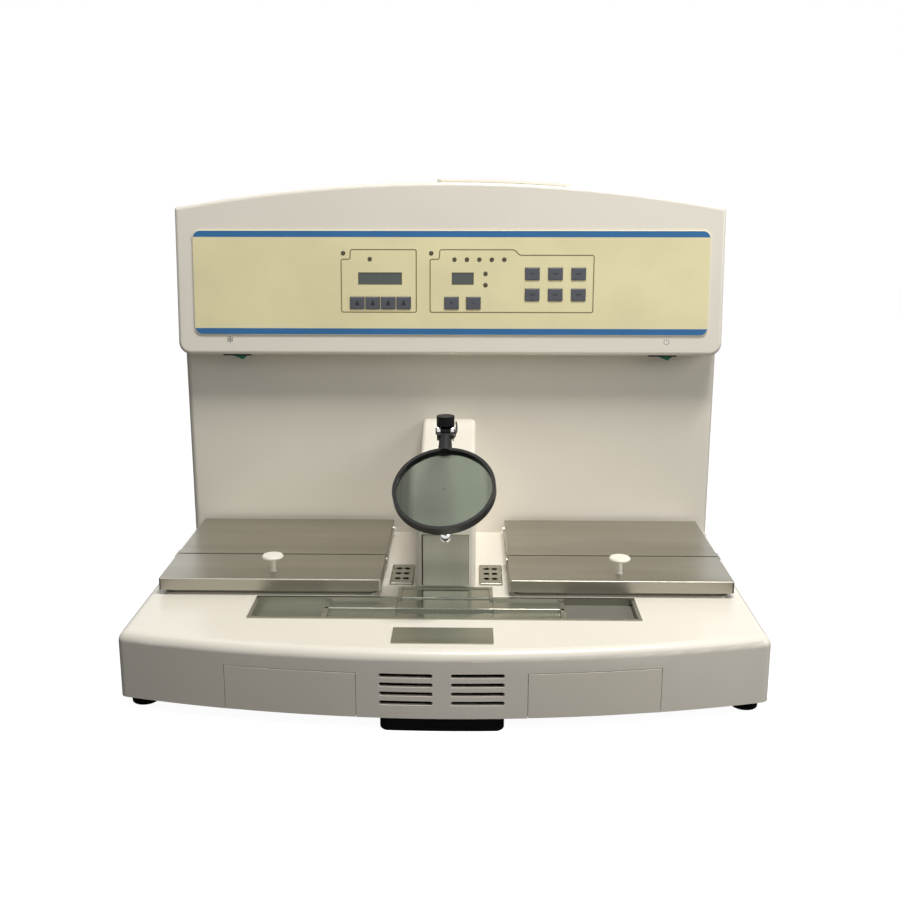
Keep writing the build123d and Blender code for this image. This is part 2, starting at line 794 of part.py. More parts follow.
# Lids: a rear leaf on the rear pins and a front leaf hinged to it at the seam
for side_name, side in (("left", -1), ("right", 1)):
    centre_x = side * lid_centre_x
    with BuildPart() as lid_rear:
        with BuildSketch(Plane.XY.offset(lid_top - lid_skirt)):
            with Locations((centre_x, (lid_seam_y + lid_rear_y) / 2)):
                Rectangle(lid_width, lid_rear_y - lid_seam_y)
        extrude(amount=lid_skirt)
        fillet(lid_rear.edges().filter_by(Axis.Y).group_by(Axis.Z)[-1], radius=lid_edge_radius)
        with BuildSketch(Plane.XY.offset(lid_top - lid_skirt)):
            with Locations((centre_x, (lid_seam_y + lid_rear_y) / 2)):
                Rectangle(lid_width - 2 * sheet, lid_rear_y - lid_seam_y + 2 * sheet)
        extrude(amount=lid_skirt - sheet, mode=Mode.SUBTRACT)
        # The skirts stop short at the back so that the leaf can swing up
        with BuildSketch(Plane.YZ.offset(centre_x)):
            Polygon(
                (rear_pin_y, lid_top - lid_skirt - sheet),
                (rear_pin_y + 1, lid_top - lid_skirt),
                (rear_pin_y + 6, rear_pin_z),
                (rear_pin_y + 6, lid_top - 2 * sheet),
                (lid_rear_y + sheet, lid_top - 2 * sheet),
                (lid_rear_y + sheet, lid_top - lid_skirt - sheet),
                align=None,
            )
        extrude(amount=lid_width, both=True, mode=Mode.SUBTRACT)
        # Ears welded outside the skirts carry the studs of the seam hinge
        for end in (-1, 1):
            ear_face = centre_x + end * lid_width / 2
            with BuildSketch(Plane.YZ.offset(ear_face)):
                with Locations((lid_seam_y + seam_ear_lap / 2 + 1, seam_pin_z - 1)):
                    Rectangle(seam_ear_lap, seam_ear_height)
            extrude(amount=end * (clearance + sheet))
            with BuildSketch(Plane.YZ.offset(ear_face + end * clearance)):
                with Locations(((seam_pin_y + lid_seam_y) / 2 + 1, seam_pin_z - 1)):
                    Rectangle(lid_seam_y - seam_pin_y + 2, seam_ear_height)
                with Locations((seam_pin_y, seam_pin_z - 1)):
                    Circle(seam_ear_height / 2)
            extrude(amount=end * sheet)
            with BuildSketch(Plane.YZ.offset(ear_face + end * clearance)):
                with Locations((seam_pin_y, seam_pin_z)):
                    Circle(seam_pin_radius)
            extrude(amount=-end * (clearance + 2 * sheet))
        with BuildSketch(Plane.YZ.offset(centre_x)):
            with Locations((rear_pin_y, rear_pin_z)):
                Circle(rear_pin_radius + running_clearance)
        extrude(amount=lid_width, both=True, mode=Mode.SUBTRACT)
    save(lid_rear, f"{side_name}_lid_rear_leaf")

    with BuildPart() as lid_front:
        with BuildSketch(Plane.XY.offset(lid_top - lid_skirt)):
            with Locations((centre_x, (lid_front_y + leaf_rear_y) / 2)):
                Rectangle(lid_width, leaf_rear_y - lid_front_y)
        extrude(amount=lid_skirt)
        fillet(lid_front.edges().filter_by(Axis.Z).group_by(Axis.Y)[0], radius=lid_corner_radius)
        fillet(lid_front.edges().group_by(Axis.Z)[-1], radius=lid_edge_radius)
        with BuildSketch(Plane.XY.offset(lid_top - lid_skirt)):
            with Locations((centre_x, (lid_front_y + leaf_rear_y) / 2 + sheet)):
                Rectangle(lid_width - 2 * sheet, leaf_rear_y - lid_front_y)
        extrude(amount=lid_skirt - sheet, mode=Mode.SUBTRACT)
        with BuildSketch(Plane.YZ.offset(centre_x)):
            with Locations((seam_pin_y, seam_pin_z)):
                Circle(seam_pin_radius + running_clearance)
        extrude(amount=lid_width, both=True, mode=Mode.SUBTRACT)
    save(lid_front, f"{side_name}_lid_front_leaf")

    with BuildPart() as lid_knob:
        with BuildSketch(Plane.XZ.offset(-knob_y)):
            with Locations((centre_x, lid_top)):
                Polygon(
                    (0, 0),
                    (knob_stem_radius + 1, 0),
                    (knob_stem_radius, 2),
                    (knob_stem_radius, knob_height - knob_disc_thickness - 1),
                    (knob_disc_radius - 1, knob_height - knob_disc_thickness),
                    (knob_disc_radius, knob_height - knob_disc_thickness / 2),
                    (knob_disc_radius - 1, knob_height),
                    (0, knob_height),
                    align=None,
                )
        revolve(axis=Axis((centre_x, knob_y, 0), (0, 0, 1)))
    save(lid_knob, f"{side_name}_lid_knob")

# Work trough: pressed steel with a flange on the deck, an outer pan and two terraces each side
divider_outer_x = trough_half_length - pan_length
divider_inner_x = divider_outer_x - divider_width
with BuildPart() as work_trough:
    with BuildSketch(Plane.XY.offset(deck_height)):
        add(trough_plan(0))
    extrude(amount=trough_edge)
    with BuildSketch(Plane.XY.offset(trough_floor - sheet)):
        add(trough_plan(trough_inset - sheet))
    extrude(amount=trough_depth + sheet)
    with BuildSketch(Plane.XY.offset(trough_floor)):
        add(trough_plan(trough_inset))
    extrude(amount=trough_depth + trough_edge, mode=Mode.SUBTRACT)
    for side in (-1, 1):
        with BuildSketch(Plane.XY.offset(trough_floor)):
            with Locations((side * (divider_inner_x + divider_outer_x) / 2, trough_middle_y)):
                Rectangle(divider_width, trough_rear_y - trough_front_y - 2 * trough_inset)
        extrude(amount=trough_depth)
        with BuildSketch(Plane.YZ.offset(side * plate_half_width)):
            add(
                terrace_profile(
                    trough_rear_y - trough_inset,
                    [(trough_front_y + trough_inset, lower_terrace_drop), (terrace_y, upper_terrace_drop)],
                )
            )
        extrude(amount=side * (divider_inner_x - plate_half_width))
        with BuildSketch(Plane.XY.offset(deck_height)):
            with Locations((side * (divider_inner_x + divider_outer_x) / 2, drain_y)):
                Circle(drain_radius)
        extrude(amount=-trough_depth - 2 * sheet, mode=Mode.SUBTRACT)
save(work_trough, "work_trough")

# Warm plate: three terraces in the middle of the trough, stepping down to the front
with BuildPart() as warm_plate:
    with BuildSketch(Plane.YZ):
        add(
            terrace_profile(
                plate_rear_y,
                [
                    (trough_front_y, lower_terrace_drop),
                    (terrace_y, upper_terrace_drop),
                    (trough_rear_y, 0),
                ],
            )
        )
    extrude(amount=plate_half_width - clearance, both=True)
    with BuildSketch(Plane.XY.offset(trough_floor)):
        add(trough_plan(trough_inset + clearance))
    extrude(amount=trough_depth, mode=Mode.INTERSECT)
save(warm_plate, "warm_plate")

# Pan mat: loose dark mat in the right-hand pan
with BuildPart() as pan_mat:
    mat_outer_x = trough_half_length - trough_inset - clearance
    mat_inner_x = divider_outer_x + clearance
    with BuildSketch(Plane.XY.offset(trough_floor)):
        with Locations(((mat_inner_x + mat_outer_x) / 2, trough_middle_y)):
            RectangleRounded(
                mat_outer_x - mat_inner_x,
                trough_rear_y - trough_front_y - 2 * trough_inset - 2 * clearance,
                mat_corner_radius,
            )
    extrude(amount=mat_thickness)
save(pan_mat, "pan_mat")

# Cold plate: aluminium plate with a thin lip on the deck
cold_plate_y = (cold_plate_front_y + cold_plate_rear_y) / 2
with BuildPart() as cold_plate:
    with BuildSketch(Plane.XY.offset(deck_height)):
        with Locations((0, cold_plate_y)):
            RectangleRounded(cold_plate_width, cold_plate_depth, 1)
    extrude(amount=1)
    with BuildSketch(Plane.XY.offset(deck_height)):
        with Locations((0, cold_plate_y)):
            Rectangle(
                cold_plate_width - 2 * trough_flange - 2 * clearance,
                cold_plate_depth - 2 * trough_flange - 2 * clearance,
            )
    extrude(amount=-cold_plate_thickness)
save(cold_plate, "cold_plate")

# Heat sink: finned block against the underside of the cold plate
sink_width = cold_plate_width - 2 * trough_flange
sink_depth = cold_plate_depth - 2 * trough_flange
sink_top = deck_height - cold_plate_thickness
sink_base = 4
with BuildPart() as heat_sink:
    with BuildSketch(Plane.XY.offset(sink_top)):
        with Locations((0, cold_plate_y)):
            Rectangle(sink_width, sink_depth)
    extrude(amount=-sink_base)
    with BuildSketch(Plane.XY.offset(sink_top - sink_base)):
        with Locations((0, cold_plate_y)):
            with GridLocations((sink_width - fin_thickness) / (fin_count - 1), 0, fin_count, 1):
                Rectangle(fin_thickness, sink_depth)
    extrude(amount=-heat_sink_height + sink_base)
save(heat_sink, "heat_sink")

# Fan frame: square frame with a ring bore, three struts and a bearing, on the base plate
fan_front_y = cold_plate_rear_y + fan_gap
fan_z = floor_z + fan_size / 2
fan_strut = 3
with BuildPart() as fan_frame:
    with BuildSketch(elevation_plane(fan_front_y)):
        with Locations((0, fan_z)):
            RectangleRounded(fan_size, fan_size, 3)
            Circle(fan_bore_radius, mode=Mode.SUBTRACT)
    extrude(amount=-fan_depth)
    with BuildSketch(elevation_plane(fan_front_y + fan_depth - fan_strut)):
        with Locations((0, fan_z)):
            Circle(fan_hub_radius)
            with PolarLocations((fan_bore_radius + fan_hub_radius) / 2, 3):
                Rectangle(fan_bore_radius - fan_hub_radius + 4, fan_strut)
            Circle(fan_axle_radius + running_clearance, mode=Mode.SUBTRACT)
    extrude(amount=-fan_strut)
save(fan_frame, "fan_frame")

# Fan rotor: hub with twisted blades on an axle that turns in the frame's bearing
blade_depth = fan_depth - fan_strut - 2 * clearance
blade_tip_gap = 0.6
blade_twist = 35
with BuildPart() as fan_rotor:
    with BuildSketch(elevation_plane(fan_front_y)):
        with Locations((0, fan_z)):
            Circle(fan_hub_radius)
    extrude(amount=-blade_depth)
    for blade in range(fan_blade_count):
        blade_angle = 360 * blade / fan_blade_count
        radial = Plane(
            origin=(0, fan_front_y + blade_depth / 2, fan_z),
            x_dir=(0, 1, 0),
            z_dir=(cos(radians(blade_angle)), 0, sin(radians(blade_angle))),
        )
        with BuildSketch(radial.offset(fan_hub_radius - 1)):
            Rectangle(blade_depth, 1.2, rotation=blade_twist)
        extrude(amount=fan_bore_radius - blade_tip_gap - fan_hub_radius + 1)
    with BuildSketch(elevation_plane(fan_front_y + blade_depth)):
        with Locations((0, fan_z)):
            Circle(fan_axle_radius)
    extrude(amount=-fan_strut - clearance)
save(fan_rotor, "fan_rotor")

# Forceps wells: a heated steel block each side with a top plate and six blind holes
with BuildPart() as forceps_wells:
    with BuildSketch(Plane.XY.offset(deck_height)):
        with Locations((-well_x, well_y), (well_x, well_y)):
            RectangleRounded(well_width, well_depth, 2)
    extrude(amount=well_thickness)
    fillet(forceps_wells.edges().group_by(Axis.Z)[-1], radius=well_edge_radius)
    with BuildSketch(Plane.XY.offset(deck_height)):
        with Locations((-well_x, well_y), (well_x, well_y)):
            Rectangle(
                well_width - 2 * trough_flange - 2 * clearance,
                well_depth - 2 * trough_flange - 2 * clearance,
            )
    extrude(amount=-well_block_height)
    with BuildSketch(Plane.XY.offset(deck_height + well_thickness)):
        with Locations((-well_x, well_y), (well_x, well_y)):
            with GridLocations(well_hole_pitch_x, well_hole_pitch_y, 2, 3):
                Circle(well_hole_radius)
    extrude(amount=-well_hole_depth, mode=Mode.SUBTRACT)
save(forceps_wells, "forceps_wells")

# Wax drawers: moulded trays whose fronts continue the bow of the base
drawer_gap = 0.4
tray_inset = 6
tray_bottom = floor_z + 3
tray_rear_y = front_y - front_bow / 2 + drawer_length
for side_name, side in (("left", -1), ("right", 1)):
    centre_x = side * drawer_centre_x
    with BuildPart() as drawer:
        with BuildSketch(Plane.XY.offset(tray_bottom)):
            add(bowed_plan(0, tray_rear_y))
            with Locations((centre_x, 0)):
                Rectangle(drawer_width - 2 * tray_inset, overall_depth, mode=Mode.INTERSECT)
        extrude(amount=drawer_tray_height)
        with BuildSketch(Plane.XY.offset(foot_height)):
            add(bowed_plan(0, tray_rear_y))
            add(bowed_plan(wall, tray_rear_y + wall), mode=Mode.SUBTRACT)
            with Locations((centre_x, front_y - front_bow / 2)):
                Rectangle(drawer_width - 2 * drawer_gap, 2 * front_bow, mode=Mode.INTERSECT)
        extrude(amount=drawer_top - foot_height - drawer_gap)
        with BuildSketch(Plane.XY.offset(tray_bottom + drawer_wall)):
            add(bowed_plan(wall, tray_rear_y - drawer_wall))
            with Locations((centre_x, 0)):
                Rectangle(
                    drawer_width - 2 * tray_inset - 2 * drawer_wall,
                    overall_depth,
                    mode=Mode.INTERSECT,
                )
        extrude(amount=drawer_tray_height, mode=Mode.SUBTRACT)
    save(drawer, f"{side_name}_wax_drawer")

# Drawer rails: an angle each side of each tray, with a ledge under it
ledge_width = 8
rail_front_y = front_y - front_bow / 2 + 14
with BuildPart() as drawer_rails:
    for side in (-1, 1):
        for end in (-1, 1):
            tray_face = side * drawer_centre_x + end * (drawer_width / 2 - tray_inset)
            with BuildSketch(Plane.XY.offset(floor_z)):
                with Locations((tray_face + end * (clearance + rail_thickness / 2), (rail_front_y + tray_rear_y) / 2)):
                    Rectangle(rail_thickness, tray_rear_y - rail_front_y)
            extrude(amount=rail_height)
            with BuildSketch(Plane.XY.offset(floor_z)):
                with Locations(
                    (tray_face + end * (clearance + rail_thickness - ledge_width / 2), (rail_front_y + tray_rear_y) / 2)
                ):
                    Rectangle(ledge_width, tray_rear_y - rail_front_y)
            extrude(amount=tray_bottom - floor_z - clearance)
save(drawer_rails, "drawer_rails")

# Tower housing: narrow cover with a sloping roof, from the back wall to the warm plate
slot_left = -push_plate_width / 2 - push_slot_gap
slot_right = push_plate_width / 2 + clearance
roof_slope = (tower_rear_height - tower_front_height) / (back_wall_y - tower_front_y)
arm_foot_z = tower_front_height + roof_slope * (arm_foot_y - tower_front_y)
with BuildPart() as tower_housing:
    with BuildSketch(Plane.YZ):
        Polygon(
            (tower_front_y, deck_height),
            (tower_front_y, tower_front_height),
            (back_wall_y, tower_rear_height),
            (back_wall_y, deck_height),
            align=None,
        )
    extrude(amount=tower_half_width, both=True)
    brow = tower_housing.edges().filter_by(Axis.X).sort_by(Axis.Y)[:2].sort_by(Axis.Z)[-1]
    fillet(brow, radius=tower_brow_radius)
    side_faces = tower_housing.faces().filter_by(Axis.X)
    rims = side_faces.edges().filter_by(lambda e: e.center().Z > deck_height + 1 and e.center().Y < back_wall_y - 1)
    fillet(rims, radius=tower_edge_radius)
    with BuildSketch(Plane.YZ):
        Polygon(
            (tower_front_y + tower_wall, deck_height),
            (tower_front_y + tower_wall, tower_front_height - tower_wall),
            (back_wall_y, tower_rear_height - tower_wall - tower_wall * roof_slope),
            (back_wall_y, deck_height),
            align=None,
        )
    extrude(amount=tower_half_width - tower_wall, both=True, mode=Mode.SUBTRACT)
    with BuildSketch(elevation_plane(tower_front_y)):
        with Locations(((slot_left + slot_right) / 2, (push_plate_bottom + push_plate_top) / 2)):
            Rectangle(slot_right - slot_left, push_plate_top - push_plate_bottom + 2 * clearance)
        with Locations((0, nozzle_z)):
            Circle(nozzle_radius + clearance)
    extrude(amount=-2 * tower_wall, mode=Mode.SUBTRACT)
    # Boss in the roof, bored from above for the magnifier's spindle
    with BuildSketch(Plane.XY.offset(arm_foot_z + arm_foot_rise)):
        with Locations((0, arm_foot_y)):
            Circle(arm_foot_radius)
    extrude(amount=-arm_foot_rise - arm_foot_depth)
    with BuildSketch(Plane.XY.offset(arm_foot_z + arm_foot_rise)):
        with Locations((0, arm_foot_y)):
            Circle(arm_radius + running_clearance)
    extrude(amount=-arm_foot_rise - arm_foot_depth + tower_wall, mode=Mode.SUBTRACT)
save(tower_housing, "tower_housing")

# Push plate: steel plate that a mould presses back, with the valve's push rod behind it
valve_setback = 69
valve_rear_y = tower_front_y + valve_setback
valve_front_y = valve_rear_y - valve_length
rod_engagement = 16
with BuildPart() as push_plate:
    with BuildSketch(elevation_plane(tower_front_y)):
        with Locations((0, (push_plate_bottom + push_plate_top) / 2)):
            RectangleRounded(push_plate_width, push_plate_top - push_plate_bottom, 1)
    extrude(amount=push_plate_thickness)
    with BuildSketch(elevation_plane(tower_front_y)):
        with Locations((0, push_rod_z)):
            Circle(push_rod_radius)
    extrude(amount=tower_front_y - valve_front_y - rod_engagement)
save(push_plate, "push_plate")

# Dispenser valve: brass block on a foot, bored for the push rod
with BuildPart() as dispenser_valve:
    with BuildSketch(elevation_plane(valve_front_y)):
        with Locations((0, (push_rod_z - valve_width / 2 + nozzle_z + nozzle_radius + 3) / 2)):
            Rectangle(valve_width, nozzle_z + nozzle_radius + 3 - push_rod_z + valve_width / 2)
        with Locations((0, (deck_height + push_rod_z) / 2)):
            Rectangle(valve_width / 2, push_rod_z - deck_height)
    extrude(amount=-valve_length)
    with BuildSketch(elevation_plane(valve_front_y)):
        with Locations((0, push_rod_z)):
            Circle(push_rod_radius + running_clearance)
    extrude(amount=-rod_engagement - 2 * push_plate_travel, mode=Mode.SUBTRACT)
save(dispenser_valve, "dispenser_valve")

# Nozzle: spout from the valve through the tower front, turned down over the warm plate
nozzle_bend = 8
with BuildPart() as nozzle:
    with BuildLine() as nozzle_path:
        FilletPolyline(
            (0, valve_front_y, nozzle_z),
            (0, tower_front_y - nozzle_reach + nozzle_radius, nozzle_z),
            (0, tower_front_y - nozzle_reach + nozzle_radius, nozzle_z - nozzle_bend - nozzle_drop),
            radius=nozzle_bend,
        )
    with BuildSketch(elevation_plane(valve_front_y)):
        with Locations((0, nozzle_z)):
            Circle(nozzle_radius)
            Circle(nozzle_radius / 3, mode=Mode.SUBTRACT)
    sweep(path=nozzle_path.line)
    with BuildSketch(elevation_plane(tower_front_y - clearance)):
        with Locations((0, nozzle_z)):
            Circle(nozzle_radius + 2)
            Circle(nozzle_radius / 2, mode=Mode.SUBTRACT)
    extrude(amount=2)
save(nozzle, "nozzle")

# Magnifier arm: spindle in the tower's boss, knee, rod up to the clamp, eye and knob stud at the tip
with BuildPart() as magnifier_arm:
    spindle_foot_z = arm_foot_z - arm_foot_depth + tower_wall + clearance
    with BuildLine() as arm_path:
        FilletPolyline(
            (0, arm_foot_y, spindle_foot_z),
            (0, arm_foot_y, arm_knee_z),
            (0, clamp_y, clamp_z),
            radius=arm_bend,
        )
    with BuildSketch(Plane.XY.offset(spindle_foot_z)):
        with Locations((0, arm_foot_y)):
            Circle(arm_radius)
    sweep(path=arm_path.line)
    with BuildSketch(Plane.XY.offset(arm_foot_z + arm_foot_rise + clearance)):
        with Locations((0, arm_foot_y)):
            Circle(arm_foot_radius)
    extrude(amount=collar_height)
    with BuildSketch(Plane.YZ):
        with Locations((clamp_y, clamp_z)):
            Circle(eye_radius)
    extrude(amount=eye_half_width, both=True)
    knob_foot_z = clamp_z + cheek_radius + clearance
    with BuildSketch(Plane.XY.offset(clamp_z)):
        with Locations((0, clamp_y)):
            Circle(clamp_pin_radius)
    extrude(amount=knob_foot_z + magnifier_knob_height / 2 - clamp_z)
    with BuildSketch(Plane.YZ):
        with Locations((clamp_y, clamp_z)):
            Circle(clamp_pin_radius + running_clearance)
    extrude(amount=eye_half_width, both=True, mode=Mode.SUBTRACT)
save(magnifier_arm, "magnifier_arm")

# Magnifier knob: ribbed cap on the arm's stud
knob_rib_count = 20
with BuildPart() as magnifier_knob:
    with BuildSketch(Plane.XY.offset(knob_foot_z)):
        with Locations((0, clamp_y)):
            Circle(magnifier_knob_radius)
            with PolarLocations(magnifier_knob_radius + 0.2, knob_rib_count):
                Circle(0.7, mode=Mode.SUBTRACT)
    extrude(amount=magnifier_knob_height)
    with BuildSketch(Plane.XY.offset(knob_foot_z)):
        with Locations((0, clamp_y)):
            Circle(clamp_pin_radius + running_clearance)
    extrude(amount=magnifier_knob_height / 2 + clearance, mode=Mode.SUBTRACT)
save(magnifier_knob, "magnifier_knob")

# Magnifier ring: rim with a lens groove, neck, and a fork whose pin turns in the arm's eye
tilt = radians(ring_elevation)
twist = radians(ring_twist)
neck_dir = Vector(0, sin(tilt), cos(tilt))
facing = Vector(sin(twist), -cos(tilt) * cos(twist), sin(tilt) * cos(twist))
clamp_point = Vector(0, clamp_y, clamp_z)
ring_plane = Plane(
    origin=clamp_point - neck_dir * ring_offset,
    x_dir=neck_dir.cross(facing),
    z_dir=facing,
)
neck_plane = Plane(origin=clamp_point, x_dir=(1, 0, 0), z_dir=-neck_dir)
fork_half_width = eye_half_width + clearance + cheek_thickness
fork_base_near = 6.5
fork_base_far = 9
with BuildPart() as magnifier_ring:
    with BuildSketch(ring_plane):
        Circle(ring_radius)
    extrude(amount=ring_depth / 2, both=True)
    with BuildSketch(neck_plane.offset(fork_base_far)):
        Circle(neck_radius)
    with BuildSketch(neck_plane.offset(ring_offset - ring_radius + 4)):
        Circle(neck_foot_radius)
    loft()
    with BuildSketch(ring_plane):
        Circle(ring_radius - ring_wall)
    extrude(amount=ring_depth, both=True, mode=Mode.SUBTRACT)
    with BuildSketch(ring_plane):
        Circle(lens_radius)
    extrude(amount=lens_edge / 2, both=True, mode=Mode.SUBTRACT)
    with BuildSketch(neck_plane.offset(fork_base_near)):
        Rectangle(2 * fork_half_width, 2 * cheek_radius - 4)
    extrude(amount=fork_base_far - fork_base_near)
    cheek_plane = Plane(origin=clamp_point, x_dir=(0, -neck_dir.Z, neck_dir.Y), z_dir=(1, 0, 0))
    for end in (-1, 1):
        with BuildSketch(cheek_plane.offset(end * (eye_half_width + clearance + cheek_thickness / 2))):
            Circle(cheek_radius)
            with Locations((0, fork_base_far / 2)):
                Rectangle(2 * cheek_radius - 4, fork_base_far)
        extrude(amount=cheek_thickness / 2, both=True)
        with BuildSketch(Plane.YZ.offset(end * fork_half_width)):
            with Locations((clamp_y, clamp_z)):
                Circle(clamp_pin_radius + 1.5)
        extrude(amount=end * 1.5)
    with BuildSketch(Plane.YZ):
        with Locations((clamp_y, clamp_z)):
            Circle(clamp_pin_radius)
    extrude(amount=fork_half_width, both=True)
save(magnifier_ring, "magnifier_ring")

# Magnifier lens: biconvex glass in the ring's groove
with BuildPart() as magnifier_lens:
    with BuildSketch(Plane(origin=ring_plane.origin, x_dir=ring_plane.x_dir, z_dir=-ring_plane.y_dir)):
        with BuildLine():
            bulge_x = lens_radius - 1
            bulge = lens_thickness / 2
            half_edge = lens_edge / 2
            radius = (bulge_x**2 + (bulge - half_edge) ** 2) / (2 * (bulge - half_edge))
            middle_z = bulge - radius + (radius**2 - (bulge_x / 2) ** 2) ** 0.5
            ThreePointArc((0, bulge), (bulge_x / 2, middle_z), (bulge_x, half_edge))
            Line((bulge_x, half_edge), (lens_radius, half_edge))
            Line((lens_radius, half_edge), (lens_radius, -half_edge))
            Line((lens_radius, -half_edge), (bulge_x, -half_edge))
            ThreePointArc((bulge_x, -half_edge), (bulge_x / 2, -middle_z), (0, -bulge))
            Line((0, -bulge), (0, bulge))
        make_face()
    revolve(axis=Axis(ring_plane.origin, ring_plane.z_dir))
save(magnifier_lens, "magnifier_lens")

# Paraffin tank: steel box with a feed pipe down inside the back housing to the valve
tank_rim = arch_height(tank_x + tank_width / 2) - tank_rim_gap
with BuildPart() as paraffin_tank:
    with BuildSketch(Plane.XY.offset(tank_bottom)):
        with Locations((tank_x, tank_y)):
            RectangleRounded(tank_width, tank_length, tank_corner_radius)
    extrude(amount=tank_rim - tank_bottom)
    with BuildSketch(Plane.XY.offset(tank_bottom + tank_wall)):
        with Locations((tank_x, tank_y)):
            RectangleRounded(tank_width - 2 * tank_wall, tank_length - 2 * tank_wall, tank_corner_radius - tank_wall)
    extrude(amount=tank_rim - tank_bottom, mode=Mode.SUBTRACT)
    with BuildLine() as pipe_path:
        FilletPolyline(
            (0, pipe_y, tank_bottom),
            (0, pipe_y, push_rod_z),
            (0, valve_rear_y, push_rod_z),
            radius=pipe_bend,
        )
    with BuildSketch(Plane.XY.offset(tank_bottom)):
        with Locations((0, pipe_y)):
            Circle(pipe_radius)
            Circle(pipe_radius - pipe_wall, mode=Mode.SUBTRACT)
    sweep(path=pipe_path.line)
    with BuildSketch(Plane.XY.offset(tank_bottom)):
        with Locations((0, pipe_y)):
            Circle(pipe_radius - pipe_wall)
    extrude(amount=tank_wall, mode=Mode.SUBTRACT)
save(paraffin_tank, "paraffin_tank")

# Filler lid: lift-off lid that follows the console's arch, with a skirt inside the tank
skirt_gap = 1
skirt_depth = 10
with BuildPart() as filler_lid:
    lid_ends = (filler_x - filler_width / 2, filler_x + filler_width / 2)
    with BuildSketch(elevation_plane(filler_front_y)):
        with BuildLine():
            lower = clearance
            upper = clearance + filler_thickness
            ThreePointArc(
                (lid_ends[0], arch_height(lid_ends[0]) + lower),
                (filler_x, arch_height(filler_x) + lower),
                (lid_ends[1], arch_height(lid_ends[1]) + lower),
            )
            Line((lid_ends[1], arch_height(lid_ends[1]) + lower), (lid_ends[1], arch_height(lid_ends[1]) + upper))
            ThreePointArc(
                (lid_ends[1], arch_height(lid_ends[1]) + upper),
                (filler_x, arch_height(filler_x) + upper),
                (lid_ends[0], arch_height(lid_ends[0]) + upper),
            )
            Line((lid_ends[0], arch_height(lid_ends[0]) + upper), (lid_ends[0], arch_height(lid_ends[0]) + lower))
        make_face()
    extrude(amount=filler_front_y - filler_rear_y)
    fillet(filler_lid.edges().filter_by(Axis.Z), radius=6)
    skirt_outer = tank_wall + skirt_gap
    skirt_top = arch_height(tank_x + tank_width / 2) + upper - filler_thickness / 2
    with BuildSketch(Plane.XY.offset(skirt_top)):
        with Locations((tank_x, tank_y)):
            RectangleRounded(
                tank_width - 2 * skirt_outer,
                tank_length - 2 * skirt_outer,
                tank_corner_radius - skirt_outer,
            )
            RectangleRounded(
                tank_width - 2 * skirt_outer - 2 * sheet,
                tank_length - 2 * skirt_outer - 2 * sheet,
                tank_corner_radius - skirt_outer - sheet,
                mode=Mode.SUBTRACT,
            )
    extrude(amount=-skirt_depth)
save(filler_lid, "filler_lid")

# Heating elements: flat pads under the baths, the trough and the tank
pad_inset = 20
with BuildPart() as heating_elements:
    with BuildSketch(Plane.XY.offset(bath_bottom)):
        with Locations(
            (-lid_centre_x, bath_front_y + bath_length / 2),
            (lid_centre_x, bath_front_y + bath_length / 2),
        ):
            RectangleRounded(bath_width - 2 * pad_inset, bath_length - 2 * pad_inset, 5)
    extrude(amount=-heater_thickness)
    with BuildSketch(Plane.XY.offset(deck_height - trough_depth - sheet)):
        with Locations((0, trough_middle_y)):
            RectangleRounded(2 * (divider_inner_x - pad_inset), trough_rear_y - trough_front_y - pad_inset, 5)
    extrude(amount=-heater_thickness)
    with BuildSketch(Plane.XY.offset(tank_bottom)):
        with Locations((tank_x + pipe_inset / 2, tank_y + pipe_inset / 2)):
            RectangleRounded(tank_width - pipe_inset - pad_inset, tank_length - pipe_inset - pad_inset, 5)
    extrude(amount=-heater_thickness)
save(heating_elements, "heating_elements")

# Circuit board: board on four spacers behind the console's leaning front
board_width = 240
board_height = 84
board_thickness = 1.6
board_standoff = 6
board_hole_inset = 6
spacer_radius = 3
component_count = 3
component_pitch = 60
component_width = 24
component_length = 16
component_height = 6
strip_length = 120
strip_width = 8
strip_inset = 10
with BuildPart() as circuit_board:
    with BuildSketch(panel_plane(-wall)):
        with GridLocations(board_width - 2 * board_hole_inset, board_height - 2 * board_hole_inset, 2, 2):
            Circle(spacer_radius)
    extrude(amount=-board_standoff)
    with BuildSketch(panel_plane(-wall - board_standoff)):
        RectangleRounded(board_width, board_height, 3)
    extrude(amount=-board_thickness)
    with BuildSketch(panel_plane(-wall - board_standoff - board_thickness)):
        with GridLocations(component_pitch, 0, component_count, 1):
            Rectangle(component_width, component_length)
        with Locations((0, board_height / 2 - strip_inset)):
            Rectangle(strip_length, strip_width)
    extrude(amount=-component_height)
save(circuit_board, "circuit_board")

# Power supply: slotted metal box on the base plate at the back
supply_side_gap = 85
supply_rear_gap = 62
supply_width = 150
supply_length = 96
supply_height = 46
supply_wall = 1.5
supply_slot_length = 60
supply_slot_width = 4
supply_slot_pitch = 9
supply_slot_count = 12
supply_x = supply_side_gap + supply_width / 2 - half_width
supply_y = back_y - supply_rear_gap - supply_length / 2
with BuildPart() as power_supply:
    with BuildSketch(Plane.XY.offset(floor_z)):
        with Locations((supply_x, supply_y)):
            Rectangle(supply_width, supply_length)
    extrude(amount=supply_height)
    with BuildSketch(Plane.XY.offset(floor_z + supply_height - supply_wall)):
        with Locations((supply_x, supply_y)):
            Rectangle(supply_width - 2 * supply_wall, supply_length - 2 * supply_wall)
    extrude(amount=-supply_height + 2 * supply_wall, mode=Mode.SUBTRACT)
    with BuildSketch(Plane.XY.offset(floor_z + supply_height)):
        with Locations((supply_x, supply_y)):
            with GridLocations(supply_slot_pitch, 0, supply_slot_count, 1):
                SlotOverall(supply_slot_length, supply_slot_width, rotation=90)
    extrude(amount=-2 * supply_wall, mode=Mode.SUBTRACT)
save(power_supply, "power_supply")
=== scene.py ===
import math
import bpy
import bmesh
from mathutils import Matrix, Vector


